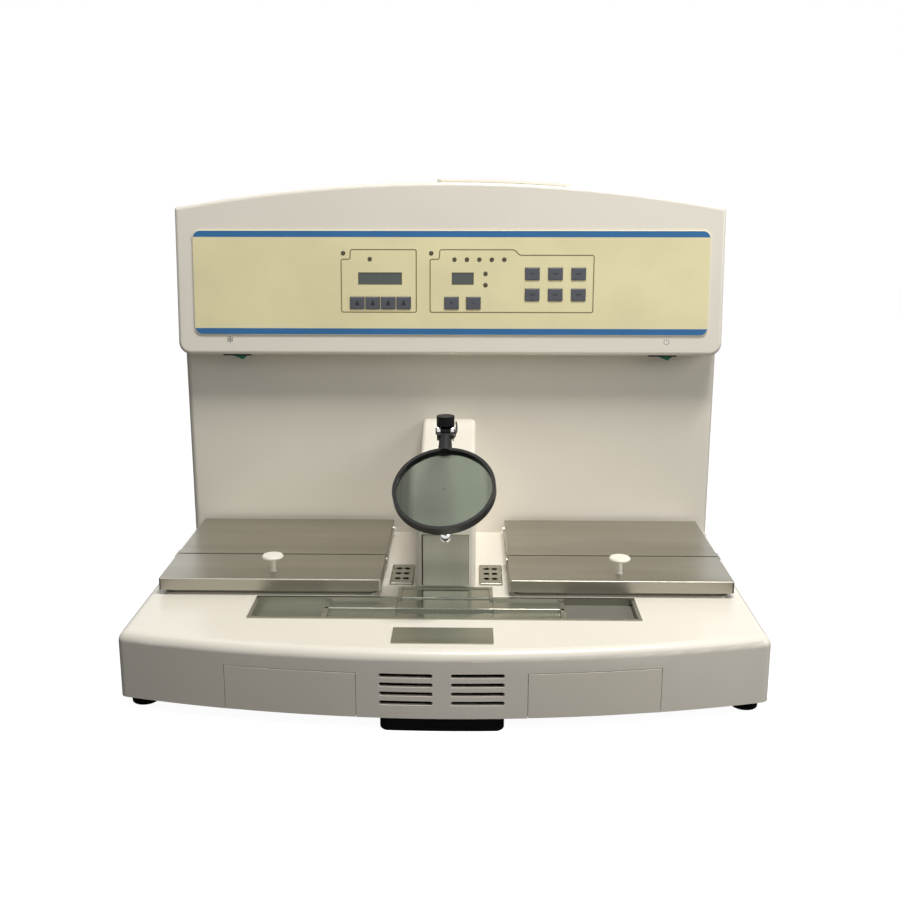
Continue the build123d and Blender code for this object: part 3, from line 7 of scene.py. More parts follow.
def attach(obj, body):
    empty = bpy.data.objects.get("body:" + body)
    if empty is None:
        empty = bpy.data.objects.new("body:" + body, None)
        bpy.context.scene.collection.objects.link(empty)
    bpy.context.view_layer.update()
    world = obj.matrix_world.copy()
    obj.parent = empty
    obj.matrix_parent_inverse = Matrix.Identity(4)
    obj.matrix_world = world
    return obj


# Finishes, printed graphics, small chrome pieces, camera and studio of the tissue embedding station
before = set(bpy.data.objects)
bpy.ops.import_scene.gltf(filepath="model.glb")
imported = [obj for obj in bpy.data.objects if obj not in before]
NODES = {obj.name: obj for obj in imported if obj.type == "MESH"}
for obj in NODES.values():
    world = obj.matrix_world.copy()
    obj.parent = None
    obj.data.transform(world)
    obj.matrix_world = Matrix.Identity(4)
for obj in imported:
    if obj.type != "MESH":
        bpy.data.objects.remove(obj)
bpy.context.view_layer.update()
MM = 0.001


# Colours and materials
def rgb(red, green, blue):
    """A screen colour, 0 to 255, as the linear colour the shaders want."""
    out = []
    for value in (red, green, blue):
        v = value / 255
        out.append(v / 12.92 if v <= 0.04045 else ((v + 0.055) / 1.055) ** 2.4)
    return (*out, 1.0)


class Shader:
    """A material with one Principled shader and short calls for the nodes that feed it."""

    def __init__(self, name, colour, roughness=0.5, metallic=0.0, **sockets):
        self.mat = bpy.data.materials.new(name)
        self.mat.use_nodes = True
        self.tree = self.mat.node_tree
        self.bsdf = self.tree.nodes["Principled BSDF"]
        self.bsdf.inputs["Base Color"].default_value = colour
        self.bsdf.inputs["Roughness"].default_value = roughness
        self.bsdf.inputs["Metallic"].default_value = metallic
        for key, value in sockets.items():
            self.bsdf.inputs[key.replace("_", " ")].default_value = value
        self.colour = colour
        self.roughness = roughness
        self.bump_out = None

    def add(self, kind, **values):
        node = self.tree.nodes.new(kind)
        for key, value in values.items():
            if hasattr(node, key):
                setattr(node, key, value)
            else:
                node.inputs[key.replace("_", " ")].default_value = value
        return node

    def link(self, a, b):
        self.tree.links.new(a, b)

    def coords(self, scale=(1, 1, 1)):
        """Object coordinates in metres, stretched by scale."""
        place = self.add("ShaderNodeTexCoord")
        mapping = self.add("ShaderNodeMapping")
        mapping.inputs["Scale"].default_value = scale
        self.link(place.outputs["Object"], mapping.inputs["Vector"])
        return mapping.outputs["Vector"]

    def noise(self, scale, detail=3.0, stretch=(1, 1, 1)):
        tex = self.add("ShaderNodeTexNoise", Scale=scale, Detail=detail)
        self.link(self.coords(stretch), tex.inputs["Vector"])
        return tex.outputs["Fac"]

    def ramp(self, fac, low, high, start=0.35, end=0.65):
        """Two-stop colour ramp from low to high."""
        ramp = self.add("ShaderNodeValToRGB")
        ramp.color_ramp.elements[0].position = start
        ramp.color_ramp.elements[1].position = end
        ramp.color_ramp.elements[0].color = low
        ramp.color_ramp.elements[1].color = high
        self.link(fac, ramp.inputs["Fac"])
        return ramp.outputs["Color"]

    def vary_colour(self, scale, amount, stretch=(1, 1, 1), detail=3.0):
        """Makes the base colour drift a little lighter and darker over the surface."""
        low = tuple(c * (1 - amount) for c in self.colour[:3]) + (1,)
        high = tuple(min(1, c * (1 + amount)) for c in self.colour[:3]) + (1,)
        drift = self.ramp(self.noise(scale, detail, stretch), low, high)
        self.link(drift, self.bsdf.inputs["Base Color"])
        return self

    def vary_roughness(self, scale, amount, stretch=(1, 1, 1), detail=3.0):
        """Makes the gloss drift a little over the surface."""
        spread = self.add("ShaderNodeMapRange")
        spread.inputs["To Min"].default_value = max(0.02, self.roughness - amount)
        spread.inputs["To Max"].default_value = min(1, self.roughness + amount)
        self.link(self.noise(scale, detail, stretch), spread.inputs["Value"])
        self.link(spread.outputs["Result"], self.bsdf.inputs["Roughness"])
        return self

    def bump(self, scale, strength, distance=0.0002, stretch=(1, 1, 1), detail=3.0):
        """Fine relief, added on top of any relief that is there already."""
        node = self.add("ShaderNodeBump", Strength=strength, Distance=distance)
        self.link(self.noise(scale, detail, stretch), node.inputs["Height"])
        if self.bump_out:
            self.link(self.bump_out, node.inputs["Normal"])
        self.bump_out = node.outputs["Normal"]
        self.link(self.bump_out, self.bsdf.inputs["Normal"])
        return self


def gloss_paint(name, colour, roughness=0.3):
    """Sprayed gloss enamel: faint drift of colour, fine orange peel and a clear top coat."""
    s = Shader(name, colour, roughness, Coat_Weight=0.25, Coat_Roughness=0.12)
    s.vary_colour(6, 0.02).vary_roughness(30, 0.05).bump(420, 0.05).bump(60, 0.03, 0.0004)
    return s.mat


def brushed_metal(name, colour, roughness, grain, metallic=1.0):
    """Brushed sheet: long fine streaks across the grain direction, with faint smears."""
    s = Shader(name, colour, roughness, metallic, Anisotropic=0.4)
    s.vary_colour(40, 0.07, grain, 6).vary_roughness(26, 0.08, grain, 6)
    s.bump(60, 0.22, 0.0001, grain, 6)
    return s.mat


def plastic(name, colour, roughness, grain=500, strength=0.08, **sockets):
    """Moulded plastic, rubber or printed film with a fine grain."""
    s = Shader(name, colour, roughness, **sockets)
    s.vary_colour(14, 0.04).vary_roughness(40, 0.06).bump(grain, strength)
    return s.mat


SHELL = gloss_paint("shell_paint", rgb(230, 225, 214))
PANEL = plastic("panel_film", rgb(232, 223, 180), 0.42, 900, 0.04)
BLUE = plastic("stripe_ink", rgb(44, 106, 160), 0.4, 900, 0.04)
INK = plastic("outline_ink", rgb(120, 108, 70), 0.5, 900, 0.04)
RING_INK = plastic("lamp_ring_ink", rgb(60, 56, 44), 0.4, 900, 0.04)
# Lighter slate for the painted highlight along the keys' top edges
KEY_HIGHLIGHT_PAINT = plastic("key_edge", rgb(132, 134, 138), 0.4, 900, 0.04)
SYMBOL = plastic("symbol_ink", rgb(78, 80, 84), 0.5, 900, 0.04)
KEY = plastic("key_rubber", rgb(80, 82, 90), 0.45, 700, 0.1)
KEY_MARK = plastic("key_mark", rgb(18, 19, 23), 0.5, 700, 0.05)
WINDOW = plastic("display_filter", rgb(82, 88, 86), 0.2, 900, 0.02)
LAMP = plastic("lamp_lens", rgb(84, 76, 58), 0.3, 900, 0.02)
BLACK = plastic("black_plastic", rgb(24, 25, 27), 0.35, 600, 0.08)
RUBBER = plastic("foot_rubber", rgb(5, 5, 5), 0.9, 500, 0.3, Specular_IOR_Level=0.1)
ARM_BLACK = plastic(
    "satin_black", rgb(12, 12, 13), 0.42, 600, 0.06, Specular_IOR_Level=0.3
)
GREEN = plastic("rocker_green", rgb(22, 112, 84), 0.3, 900, 0.03)
WHITE = plastic("white_moulding", rgb(238, 236, 226), 0.35, 700, 0.05)
LID_STEEL = brushed_metal("lid_steel", rgb(169, 165, 153), 0.34, (0.04, 1, 1))
PLATE_STEEL = brushed_metal("plate_steel", rgb(172, 172, 160), 0.28, (0.04, 1, 1))
PUSH_STEEL = brushed_metal("push_steel", rgb(200, 199, 186), 0.36, (1, 1, 0.04))
TANK_STEEL = brushed_metal("tank_steel", rgb(196, 196, 192), 0.35, (1, 1, 0.05))
CHROME_SHADER = Shader("polished_chrome", rgb(225, 225, 222), 0.1, 1.0)
CHROME = CHROME_SHADER.vary_roughness(80, 0.05).bump(300, 0.02).mat
ALUMINIUM = brushed_metal("satin_aluminium", rgb(176, 178, 176), 0.42, (0.06, 1, 1))
BRASS = brushed_metal("machined_brass", rgb(200, 165, 90), 0.35, (1, 0.1, 1))
BOARD = plastic("board_laminate", rgb(30, 92, 50), 0.45, 800, 0.1)
HEATER = plastic("heater_pad", rgb(176, 84, 36), 0.7, 500, 0.25)
MAT = plastic("pan_mat_rubber", rgb(104, 102, 94), 0.75, 380, 0.5)
WARM_STEEL = brushed_metal("warm_plate_steel", rgb(160, 161, 150), 0.16, (0.04, 1, 1))
# The lens glass is tinted a dark grey-green: partly the glass's own green, partly painted shade for the shaded
# tower front seen through it
GLASS_SHADER = Shader(
    "lens_glass", rgb(132, 144, 134), 0.02, 0.0, Transmission_Weight=1.0, IOR=1.5
)
GLASS = GLASS_SHADER.vary_roughness(60, 0.01).mat

MATERIAL_OF = {
    SHELL: [
        "base_housing", "back_housing", "console_housing", "tower_housing", "filler_lid", "rear_cover",
    ],
    PANEL: ["control_panel"],
    WINDOW: ["display_windows"],
    LAMP: ["indicator_lamps"],
    KEY: [n for n in NODES if "_key_" in n],
    BLACK: ["switch_bezels", "power_inlet", "fan_frame", "fan_rotor"],
    ARM_BLACK: ["magnifier_arm", "magnifier_ring", "magnifier_knob"],
    RUBBER: ["corner_feet", "centre_foot"],
    GREEN: ["left_switch_rocker", "right_switch_rocker"],
    WHITE: ["left_lid_knob", "right_lid_knob"],
    LID_STEEL: [n for n in NODES if n.endswith("_leaf")] + ["left_bath", "right_bath"],
    PLATE_STEEL: ["work_trough", "cold_plate", "forceps_wells"],
    WARM_STEEL: ["warm_plate"],
    PUSH_STEEL: ["push_plate"],
    TANK_STEEL: ["paraffin_tank", "base_plate", "power_supply", "drawer_rails"],
    CHROME: ["nozzle", "lid_hinge_pins", "cover_screws"],
    ALUMINIUM: ["heat_sink"],
    BRASS: ["dispenser_valve"],
    BOARD: ["circuit_board"],
    HEATER: ["heating_elements"],
    MAT: ["pan_mat"],
    GLASS: ["magnifier_lens"],
    gloss_paint("drawer_moulding", rgb(230, 224, 211), 0.34): ["left_wax_drawer", "right_wax_drawer"],
}
for material, names in MATERIAL_OF.items():
    for name in names:
        node = NODES[name]
        for i in range(max(1, len(node.material_slots))):
            if len(node.material_slots) <= i:
                node.data.materials.append(material)
            else:
                node.material_slots[i].material = material

# Softened edges on the solids, by the bevel's width in millimetres
BEVELS = {
    0.6: ["left_wax_drawer", "right_wax_drawer", "filler_lid", "forceps_wells", "push_plate"],
    0.4: [
        "left_lid_rear_leaf", "left_lid_front_leaf", "right_lid_rear_leaf", "right_lid_front_leaf",
        "nozzle",
    ],
    0.8: [
        "magnifier_ring", "left_lid_knob", "right_lid_knob", "centre_foot", "left_switch_rocker",
        "right_switch_rocker",
    ],
    0.3: [
        "work_trough", "warm_plate", "cold_plate", "control_panel", "magnifier_knob", "switch_bezels",
        "power_inlet", "pan_mat", "base_housing",
    ],
}
SMOOTH_ANGLE = 35
BEVEL_ANGLE = 50
WELD_DISTANCE = 0.00001

for node in NODES.values():
    mesh = node.data
    mesh.polygons.foreach_set("use_smooth", [True] * len(mesh.polygons))
    mesh.set_sharp_from_angle(angle=math.radians(SMOOTH_ANGLE))
for width, names in BEVELS.items():
    for name in names:
        node = NODES[name]
        weld = node.modifiers.new("weld", "WELD")
        weld.merge_threshold = WELD_DISTANCE
        bevel = node.modifiers.new("edges", "BEVEL")
        bevel.width = width * MM
        bevel.segments = 2
        bevel.limit_method = "ANGLE"
        bevel.angle_limit = math.radians(BEVEL_ANGLE)
for node in NODES.values():
    even = node.modifiers.new("even_faces", "WEIGHTED_NORMAL")
    even.keep_sharp = True

# Camera, as the photograph was taken
CAMERA_PLACE = (0.02563, -1.20277, 0.48396)
CAMERA_DIP = 13.69
CAMERA_TURN = 1.13
FILM_WIDTH = 36
LENS_LENGTH = 45.22

scene = bpy.context.scene
scene.view_settings.view_transform = "Standard"
camera_data = bpy.data.cameras.new("camera")
camera_data.sensor_width = FILM_WIDTH
camera_data.lens = LENS_LENGTH
camera_data.clip_start = 0.05
camera_data.clip_end = 20
camera = bpy.data.objects.new("camera", camera_data)
camera.location = CAMERA_PLACE
camera.rotation_euler = (math.radians(90 - CAMERA_DIP), 0, math.radians(CAMERA_TURN))
scene.collection.objects.link(camera)
scene.camera = camera


# Studio: two lamps, soft light all round, and a pale floor
def area_lamp(name, place, target, size, power, colour):
    """Rectangular lamp at a place, turned towards a target; metres and watts."""
    data = bpy.data.lights.new(name, "AREA")
    data.shape = "RECTANGLE"
    data.size, data.size_y = size
    data.energy = power
    data.color = colour
    lamp = bpy.data.objects.new(name, data)
    scene.collection.objects.link(lamp)
    lamp.location = place
    direction = Vector(target) - Vector(place)
    lamp.rotation_euler = direction.to_track_quat("-Z", "Y").to_euler()


def make_world(ambient, ambient_colour):
    """White where the camera, glass or gloss looks at it, and a dim soft light on everything else."""
    world = bpy.data.worlds.new("world")
    scene.world = world
    world.use_nodes = True
    tree = world.node_tree
    tree.nodes.clear()
    path = tree.nodes.new("ShaderNodeLightPath")
    soft = tree.nodes.new("ShaderNodeBackground")
    soft.inputs["Color"].default_value = ambient_colour
    soft.inputs["Strength"].default_value = ambient
    white = tree.nodes.new("ShaderNodeBackground")
    white.inputs["Color"].default_value = (1, 1, 1, 1)
    white.inputs["Strength"].default_value = 1.0
    mixer = tree.nodes.new("ShaderNodeMixShader")
    output = tree.nodes.new("ShaderNodeOutputWorld")
    seen = tree.nodes.new("ShaderNodeMath")
    seen.operation = "MAXIMUM"
    shiny = tree.nodes.new("ShaderNodeMath")
    shiny.operation = "MAXIMUM"
    tree.links.new(path.outputs["Is Camera Ray"], seen.inputs[0])
    tree.links.new(path.outputs["Is Transmission Ray"], seen.inputs[1])
    tree.links.new(seen.outputs[0], shiny.inputs[0])
    tree.links.new(path.outputs["Is Glossy Ray"], shiny.inputs[1])
    tree.links.new(shiny.outputs[0], mixer.inputs["Fac"])
    tree.links.new(soft.outputs[0], mixer.inputs[1])
    tree.links.new(white.outputs[0], mixer.inputs[2])
    tree.links.new(mixer.outputs[0], output.inputs["Surface"])


def make_floor(half_size, shade, bounce, glow):
    """Floor that the camera sees almost white, with the object's shadow, and that throws little light back."""
    mesh = bpy.data.meshes.new("floor")
    corners = [(-1, -1), (1, -1), (1, 1), (-1, 1)]
    mesh.from_pydata([(x * half_size, y * half_size, 0) for x, y in corners], [], [(0, 1, 2, 3)])
    floor = bpy.data.objects.new("floor", mesh)
    scene.collection.objects.link(floor)
    material = bpy.data.materials.new("floor")
    material.use_nodes = True
    tree = material.node_tree
    tree.nodes.clear()
    path = tree.nodes.new("ShaderNodeLightPath")
    pale = tree.nodes.new("ShaderNodeBsdfDiffuse")
    pale.inputs["Color"].default_value = (shade, shade, shade, 1)
    dark = tree.nodes.new("ShaderNodeBsdfDiffuse")
    dark.inputs["Color"].default_value = (bounce, bounce, bounce, 1)
    light = tree.nodes.new("ShaderNodeEmission")
    light.inputs["Strength"].default_value = glow
    both = tree.nodes.new("ShaderNodeAddShader")
    mixer = tree.nodes.new("ShaderNodeMixShader")
    output = tree.nodes.new("ShaderNodeOutputMaterial")
    tree.links.new(pale.outputs[0], both.inputs[0])
    tree.links.new(light.outputs[0], both.inputs[1])
    tree.links.new(path.outputs["Is Camera Ray"], mixer.inputs["Fac"])
    tree.links.new(dark.outputs[0], mixer.inputs[1])
    tree.links.new(both.outputs[0], mixer.inputs[2])
    tree.links.new(mixer.outputs[0], output.inputs["Surface"])
    mesh.materials.append(material)
    return floor


area_lamp(
    "ceiling_light",
    place=(0.36, -0.6, 1.97),
    target=(0.03, -0.1, 0.1),
    size=(0.9, 0.14),
    power=34,
    colour=(1.0, 0.98, 0.94),
)
area_lamp(
    "right_light",
    place=(1.5, -0.9, 0.9),
    target=(0.0, -0.2, 0.1),
    size=(0.8, 0.8),
    power=9.5,
    colour=(1.0, 0.985, 0.96),
)
make_world(ambient=0.22, ambient_colour=(1.0, 0.99, 0.97, 1))
make_floor(half_size=4, shade=0.2, bounce=0.1, glow=0.955)


# Helpers for small pieces made in mesh code
def piece(name, verts, faces, material, body):
    """Mesh object with outward faces that rides on a body."""
    mesh = bpy.data.meshes.new(name)
    mesh.from_pydata([tuple(v) for v in verts], [], faces)
    mesh.materials.append(material)
    obj = bpy.data.objects.new(name, mesh)
    scene.collection.objects.link(obj)
    tidy = bmesh.new()
    tidy.from_mesh(mesh)
    bmesh.ops.recalc_face_normals(tidy, faces=tidy.faces)
    tidy.to_mesh(mesh)
    tidy.free()
    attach(obj, body)


def slab(outlines, low, high, place):
    """Closed flat plates between two heights, from outlines; place maps (a, b, height) to metres."""
    verts = []
    faces = []
    for outline in outlines:
        start = len(verts)
        count = len(outline)
        verts += [place(a, b, low) for a, b in outline]
        verts += [place(a, b, high) for a, b in outline]
        faces.append(tuple(start + i for i in range(count)))
        faces.append(tuple(start + count + i for i in reversed(range(count))))
        for i in range(count):
            j = (i + 1) % count
            faces.append((start + i, start + j, start + count + j, start + count + i))
    return verts, faces


def rectangle(left, low, right, high):
    """Corners of a rectangle, from the lower left one round."""
    return [(left, low), (right, low), (right, high), (left, high)]


def circle(x, z, radius, steps):
    """Points round a circle."""
    angles = [2 * math.pi * k / steps for k in range(steps)]
    return [(x + radius * math.cos(a), z + radius * math.sin(a)) for a in angles]


def rounded(points, radius, steps=5):
    """Closed outline with its corners rounded."""
    out = []
    count = len(points)
    for i in range(count):
        here = Vector(points[i])
        before = Vector(points[i - 1]) - here
        after = Vector(points[(i + 1) % count]) - here
        cut = min(radius, before.length / 2.1, after.length / 2.1)
        first = here + before.normalized() * cut
        last = here + after.normalized() * cut
        for k in range(steps + 1):
            t = k / steps
            out.append((first * (1 - t) ** 2 + here * 2 * t * (1 - t) + last * t * t)[:])
    return out


def ribbon(points, width, closed=False):
    """Quads along a line of points, mitred at the corners."""
    pts = [Vector(p) for p in points]
    count = len(pts)
    sides = []
    for i in range(count):
        if closed:
            back, ahead = pts[i - 1], pts[(i + 1) % count]
        else:
            back, ahead = pts[max(0, i - 1)], pts[min(count - 1, i + 1)]
        behind = pts[i] - back
        before = ahead - pts[i]
        d0 = behind.normalized() if behind.length > 1e-9 else before.normalized()
        d1 = before.normalized() if before.length > 1e-9 else d0
        normal = Vector((-(d0.y + d1.y), d0.x + d1.x)).normalized()
        spread = width / 2 / max(0.4, normal.dot(Vector((-d0.y, d0.x))))
        sides.append((pts[i] + normal * spread, pts[i] - normal * spread))
    last = count if closed else count - 1
    quads = []
    for i in range(last):
        j = (i + 1) % count
        quads.append([sides[i][0][:], sides[j][0][:], sides[j][1][:], sides[i][1][:]])
    return quads


def round_bar(points, radius, sides=10):
    """Closed bar of round section along a line of points, in millimetres."""
    verts = []
    faces = []
    for i, here in enumerate(points):
        along = (points[min(i + 1, len(points) - 1)] - points[max(i - 1, 0)]).normalized()
        across = along.cross(Vector((0, 1, 0))).normalized()
        other = along.cross(across)
        for k in range(sides):
            angle = 2 * math.pi * k / sides
            verts.append((here + (across * math.cos(angle) + other * math.sin(angle)) * radius) * MM)
    for i in range(len(points) - 1):
        for k in range(sides):
            a = i * sides + k
            b = i * sides + (k + 1) % sides
            faces.append((a, b, b + sides, a + sides))
    faces.append(tuple(range(sides)))
    faces.append(tuple(range(len(verts) - 1, len(verts) - 1 - sides, -1)))
    return verts, faces


# Leaning front of the console and the printed panel on it, in millimetres
CONSOLE_FRONT_Y = 36
CONSOLE_BOTTOM = 290
LEAN_DEPTH = 14
LEAN_HEIGHT = 159
PANEL_SHIFT_X = 1.5
PANEL_CENTRE_Z = 368.5
PANEL_WIDTH = 564
PANEL_HEIGHT = 113
PANEL_RADIUS = 8
PANEL_FACE = 1.5
KEY_PROUD = 1.2
INK_THICKNESS = 0.06
KEY_FACE = PANEL_FACE + KEY_PROUD
LEAN = math.atan2(LEAN_DEPTH, LEAN_HEIGHT)
PANEL_Y = CONSOLE_FRONT_Y + (PANEL_CENTRE_Z - CONSOLE_BOTTOM) * LEAN_DEPTH / LEAN_HEIGHT
PANEL_ORIGIN = Vector((PANEL_SHIFT_X, PANEL_Y, PANEL_CENTRE_Z))
PANEL_UP = Vector((0, math.sin(LEAN), math.cos(LEAN)))
PANEL_OUT = Vector((0, -math.cos(LEAN), math.sin(LEAN)))

# The photograph's pixels on the panel: a reference pixel, its place, and millimetres per pixel
REFERENCE_U = 449.3
REFERENCE_V = 230.5
REFERENCE_Z = 425.0
MM_PER_U = 1.0886
MM_PER_V = 1.0846


def on_panel(a, b, height):
    """Place in metres of a point on the panel, a to the right, b up its slope and height outwards."""
    return (PANEL_ORIGIN + Vector((a, 0, 0)) + PANEL_UP * b + PANEL_OUT * height) * MM


def from_photo(u, v):
    """Panel coordinates of a pixel of the photograph."""
    x = (u - REFERENCE_U) * MM_PER_U
    z = REFERENCE_Z - (v - REFERENCE_V) * MM_PER_V
    return x - PANEL_ORIGIN.x, (z - PANEL_ORIGIN.z) / math.cos(LEAN)


def ink(name, outlines, material, face=PANEL_FACE, body="station"):
    """Thin print on the panel, or at another height over the console's front."""
    verts, faces = slab(outlines, face - INK_THICKNESS / 3, face + INK_THICKNESS, on_panel)
    piece(name, verts, faces, material, body)


# Blue stripes along the panel's upper and lower edges, with the panel's round corners
STRIPE_HEIGHT = 6.6
STRIPE_INSET = 0.4
CORNER_STEPS = 8
stripe_half = PANEL_WIDTH / 2 - STRIPE_INSET
stripe_top = PANEL_HEIGHT / 2 - STRIPE_INSET
stripe_low = stripe_top - STRIPE_HEIGHT
corner_x = stripe_half - PANEL_RADIUS
corner_z = stripe_top - PANEL_RADIUS
for end, name in ((1, "upper_stripe"), (-1, "lower_stripe")):
    outline = []
    for side in (-1, 1):
        arc = []
        for k in range(CORNER_STEPS + 1):
            angle = math.radians(90 * k / CORNER_STEPS)
            x = side * (corner_x + PANEL_RADIUS * math.cos(angle))
            z = corner_z + PANEL_RADIUS * math.sin(angle)
            if z >= stripe_low:
                arc.append((x, end * z))
        reach = corner_x + math.sqrt(PANEL_RADIUS**2 - (stripe_low - corner_z) ** 2)
        arc = [(side * reach, end * stripe_low)] + arc
        outline += arc if side < 0 else arc[::-1]
    ink(name, [outline], BLUE)

# Outlines round the clock and the controls; their corners are pixels of the photograph
OUTLINE_WIDTH = 1.15
OUTLINE_RADIUS = 2.2
OUTLINE_TOP_V = 249.5
OUTLINE_STEP_V = 259
OUTLINE_BOTTOM_V = 311.7
CLOCK_LEFT_U = 340.9
CLOCK_STEP_U = (349.8, 350.4)
CLOCK_RIGHT_U = 416.4
CONTROL_LEFT_U = 430.3
CONTROL_STEP_U = (439.6, 440.1)
CONTROL_SLANT_U = (514.7, 520.1)
CONTROL_SLANT_V = 254.9
CONTROL_RIGHT_U = (593.9, 594.3)
clock_line = [
    from_photo(CLOCK_STEP_U[1], OUTLINE_TOP_V),
    from_photo(CLOCK_RIGHT_U, OUTLINE_TOP_V),
    from_photo(CLOCK_RIGHT_U, OUTLINE_BOTTOM_V),
    from_photo(CLOCK_LEFT_U, OUTLINE_BOTTOM_V),
    from_photo(CLOCK_LEFT_U, OUTLINE_STEP_V),
    from_photo(CLOCK_STEP_U[0], OUTLINE_STEP_V),
]
control_line = [
    from_photo(CONTROL_STEP_U[1], OUTLINE_TOP_V),
    from_photo(CONTROL_SLANT_U[0], OUTLINE_TOP_V),
    from_photo(CONTROL_SLANT_U[1], CONTROL_SLANT_V),
    from_photo(CONTROL_RIGHT_U[1], CONTROL_SLANT_V),
    from_photo(CONTROL_RIGHT_U[0], OUTLINE_BOTTOM_V),
    from_photo(CONTROL_LEFT_U, OUTLINE_BOTTOM_V),
    from_photo(CONTROL_LEFT_U, OUTLINE_STEP_V),
    from_photo(CONTROL_STEP_U[0], OUTLINE_STEP_V),
]
ink("clock_outline", ribbon(rounded(clock_line, OUTLINE_RADIUS), OUTLINE_WIDTH, True), INK)
ink("control_outline", ribbon(rounded(control_line, OUTLINE_RADIUS), OUTLINE_WIDTH, True), INK)

# Dark rings round the lamps
LAMP_RING_RADIUS = 2.2
LAMP_RING_WIDTH = 0.5
MODE_LAMP_X = 31.6
MODE_LAMP_RISE = 25.4
MODE_LAMP_PITCH = 13.6
SINGLE_LAMPS = [(-117.2, 32.1), (-88.1, 25.8), (-20.9, 32.1), (38.4, 10.1), (38.4, -2.1)]
lamps = [(MODE_LAMP_X + (i - 2) * MODE_LAMP_PITCH, MODE_LAMP_RISE) for i in range(5)]
for i, (x, z) in enumerate(lamps + SINGLE_LAMPS):
    ring = ribbon(circle(x, z, LAMP_RING_RADIUS, 24), LAMP_RING_WIDTH, True)
    ink(f"lamp_ring_{i + 1}", ring, RING_INK)

# Places of the keys on the panel, by the body that each key rides on
KEY_WIDTH = 15.6
KEY_HEIGHT = 13
LOWER_KEY_Z = -21.6
CLOCK_KEY_X = -76.7
CLOCK_KEY_PITCH = 17
SET_KEY_X = 13.3
SET_KEY_PITCH = 24
FUNCTION_KEY_X = 114.7
FUNCTION_KEY_Z = -1.1
FUNCTION_KEY_PITCH_X = 25.2
FUNCTION_KEY_PITCH_Z = 22.6
clock_keys = [(CLOCK_KEY_X + (i - 1.5) * CLOCK_KEY_PITCH, LOWER_KEY_Z) for i in range(4)]
set_keys = [(SET_KEY_X + (i - 0.5) * SET_KEY_PITCH, LOWER_KEY_Z) for i in range(2)]
function_keys = [
    (
        FUNCTION_KEY_X + (column - 1) * FUNCTION_KEY_PITCH_X,
        FUNCTION_KEY_Z + (0.5 - row) * FUNCTION_KEY_PITCH_Z,
    )
    for row in range(2)
    for column in range(3)
]


# Marks on the keys: an arrow on the clock keys, plus and minus on the set keys, a bar on the others
def arrow_mark(x, z):
    half_width = 2.6
    half_tip = 0.4
    foot = z - 2.6
    tip = z + 2.7
    return [[(x - half_width, foot), (x + half_width, foot), (x + half_tip, tip), (x - half_tip, tip)]]


def sign_mark(x, z, plus):
    half_line = 0.35
    half_width = 1.8
    arm_gap = 0.4
    arm_reach = 1.85
    middle = z + 0.05
    bars = [rectangle(x - half_width, middle - half_line, x + half_width, middle + half_line)]
    if plus:
        bars.append(rectangle(x - half_line, middle - arm_reach, x + half_line, middle - arm_gap))
        bars.append(rectangle(x - half_line, middle + arm_gap, x + half_line, middle + arm_reach))
    return bars


def bar_mark(x, z):
    half_width = 2.6
    half_line = 0.5
    return [rectangle(x - half_width, z - half_line, x + half_width, z + half_line)]


def key_mark(name, number, outlines):
    ink(f"{name}_mark_{number}", outlines, KEY_MARK, KEY_FACE, f"{name}_{number}_cap")


for i, (x, z) in enumerate(clock_keys):
    key_mark("clock_key", i + 1, arrow_mark(x, z))
for i, (x, z) in enumerate(set_keys):
    key_mark("set_key", i + 1, sign_mark(x, z, plus=i == 0))
for i, (x, z) in enumerate(function_keys):
    key_mark("function_key", i + 1, bar_mark(x, z))

# Painted highlight: a light line along the top edge of every key, where light catches the edge
HIGHLIGHT_INSET = 1.5
HIGHLIGHT_DROP = 0.75
HIGHLIGHT_WIDTH = 0.55
for name, places in (("clock_key", clock_keys), ("set_key", set_keys), ("function_key", function_keys)):
    for i, (x, z) in enumerate(places):
        reach = KEY_WIDTH / 2 - HIGHLIGHT_INSET
        top = z + KEY_HEIGHT / 2 - HIGHLIGHT_DROP
        line = ribbon([(x - reach, top), (x + reach, top)], HIGHLIGHT_WIDTH)
        body = f"{name}_{i + 1}_cap"
        ink(f"{body}_top_edge_highlight", line, KEY_HIGHLIGHT_PAINT, KEY_FACE, body)

# Frames round the two displays
DISPLAY_LOW = -1.55
DISPLAY_HIGH = 11.35
FRAME_WIDTH = 0.5
for name, x, width in (
    ("clock_display_frame", -77, 47.7),
    ("temperature_display_frame", 13.5, 23.7),
):
    edge = rectangle(x - width / 2, DISPLAY_LOW, x + width / 2, DISPLAY_HIGH)
    ink(name, ribbon(edge, FRAME_WIDTH, True), INK)


# Snowflake and power symbols on the console's lower lip, at pixels of the photograph
def snowflake(centre):
    """Six arms with a pair of barbs each."""
    hub = 0.4
    arm_reach = 3.7
    arm_width = 0.6
    barb_root = 2.2
    barb_start = 0.1
    barb_reach = 1.2
    barb_width = 0.45
    barb_angle = 50
    middle = Vector(centre)
    quads = []
    for arm in range(6):
        angle = math.radians(60 * arm)
        direction = Vector((math.sin(angle), math.cos(angle)))
        ends = [(middle + direction * hub)[:], (middle + direction * arm_reach)[:]]
        quads += ribbon(ends, arm_width)
        root = middle + direction * barb_root
        for turn in (-barb_angle, barb_angle):
            barb = Matrix.Rotation(math.radians(turn), 2) @ direction
            quads += ribbon([(root + barb * barb_start)[:], (root + barb * barb_reach)[:]], barb_width)
    return quads


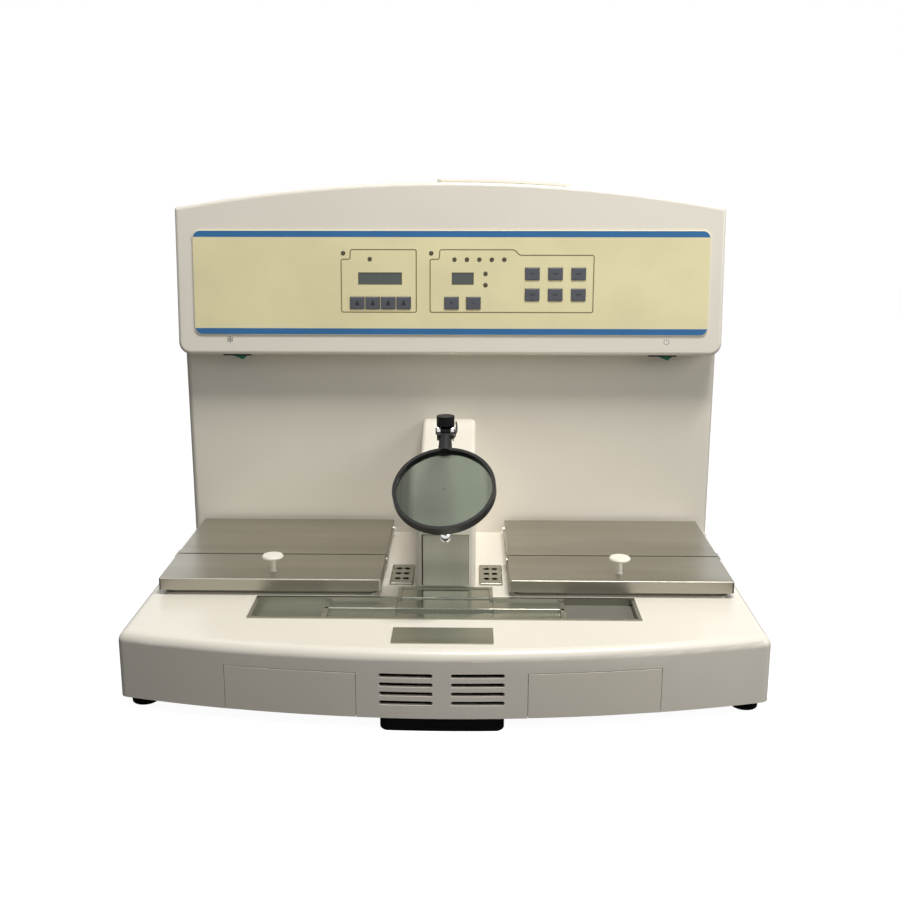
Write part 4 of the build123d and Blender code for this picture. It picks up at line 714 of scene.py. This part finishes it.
def power_sign(centre):
    """A ring that is open at the top, with a stem through the opening."""
    radius = 2.9
    line_width = 0.45
    opening = 35
    step = 10
    stem_low = 0.4
    stem_high = 3.6
    x, z = centre
    angles = [math.radians(a) for a in range(opening, 361 - opening, step)]
    ring = [(x + radius * math.sin(a), z + radius * math.cos(a)) for a in angles]
    return ribbon(ring, line_width) + ribbon([(x, z + stem_low), (x, z + stem_high)], line_width)


SNOWFLAKE_U, SNOWFLAKE_V = 226.7, 339.6
POWER_U, POWER_V = 669, 341
LIP_FACE = 0.0
ink("cooling_symbol", snowflake(from_photo(SNOWFLAKE_U, SNOWFLAKE_V)), SYMBOL, LIP_FACE)
ink("power_symbol", power_sign(from_photo(POWER_U, POWER_V)), SYMBOL, LIP_FACE)

# Chrome on the magnifier's clamp: a cap over each cheek and a curved strap down to the neck
CLAMP = Vector((0, -121, 239.5))
CHEEK_RADIUS = 6
CHEEK_INNER = 5.3
CHEEK_OUTER = 8.3
CAP_GAP = 0.15
STRAP_RADIUS = 0.9
STRAP_TOP = 11.5
STRAP_FRONT = 8.6
STRAP_SLOPE = 0.1
STRAP_LINE = [
    (10.4, STRAP_TOP), (10.9, 8), (11.1, 4), (10.8, 0.5), (9.8, -2.8), (7.8, -5.6), (5.0, -7.6), (2.0, -8.6),
]


def beside_clamp(a, b, height):
    """Place in metres of a point beside the clamp, height to the right of its middle plane."""
    return (CLAMP + Vector((height, a, b))) * MM


for name, side in (("left_cheek_cap", -1), ("right_cheek_cap", 1)):
    cap = circle(0, 0, CHEEK_RADIUS + CAP_GAP, 32)
    verts, faces = slab(
        [cap], side * (CHEEK_INNER - CAP_GAP), side * (CHEEK_OUTER + CAP_GAP), beside_clamp
    )
    piece(name, verts, faces, CHROME, "magnifier_head")
strap = [
    CLAMP + Vector((x, STRAP_SLOPE * (STRAP_TOP - z) - STRAP_FRONT, z)) for x, z in STRAP_LINE
]
verts, faces = round_bar(strap, STRAP_RADIUS)
piece("clamp_strap", verts, faces, CHROME, "magnifier_head")
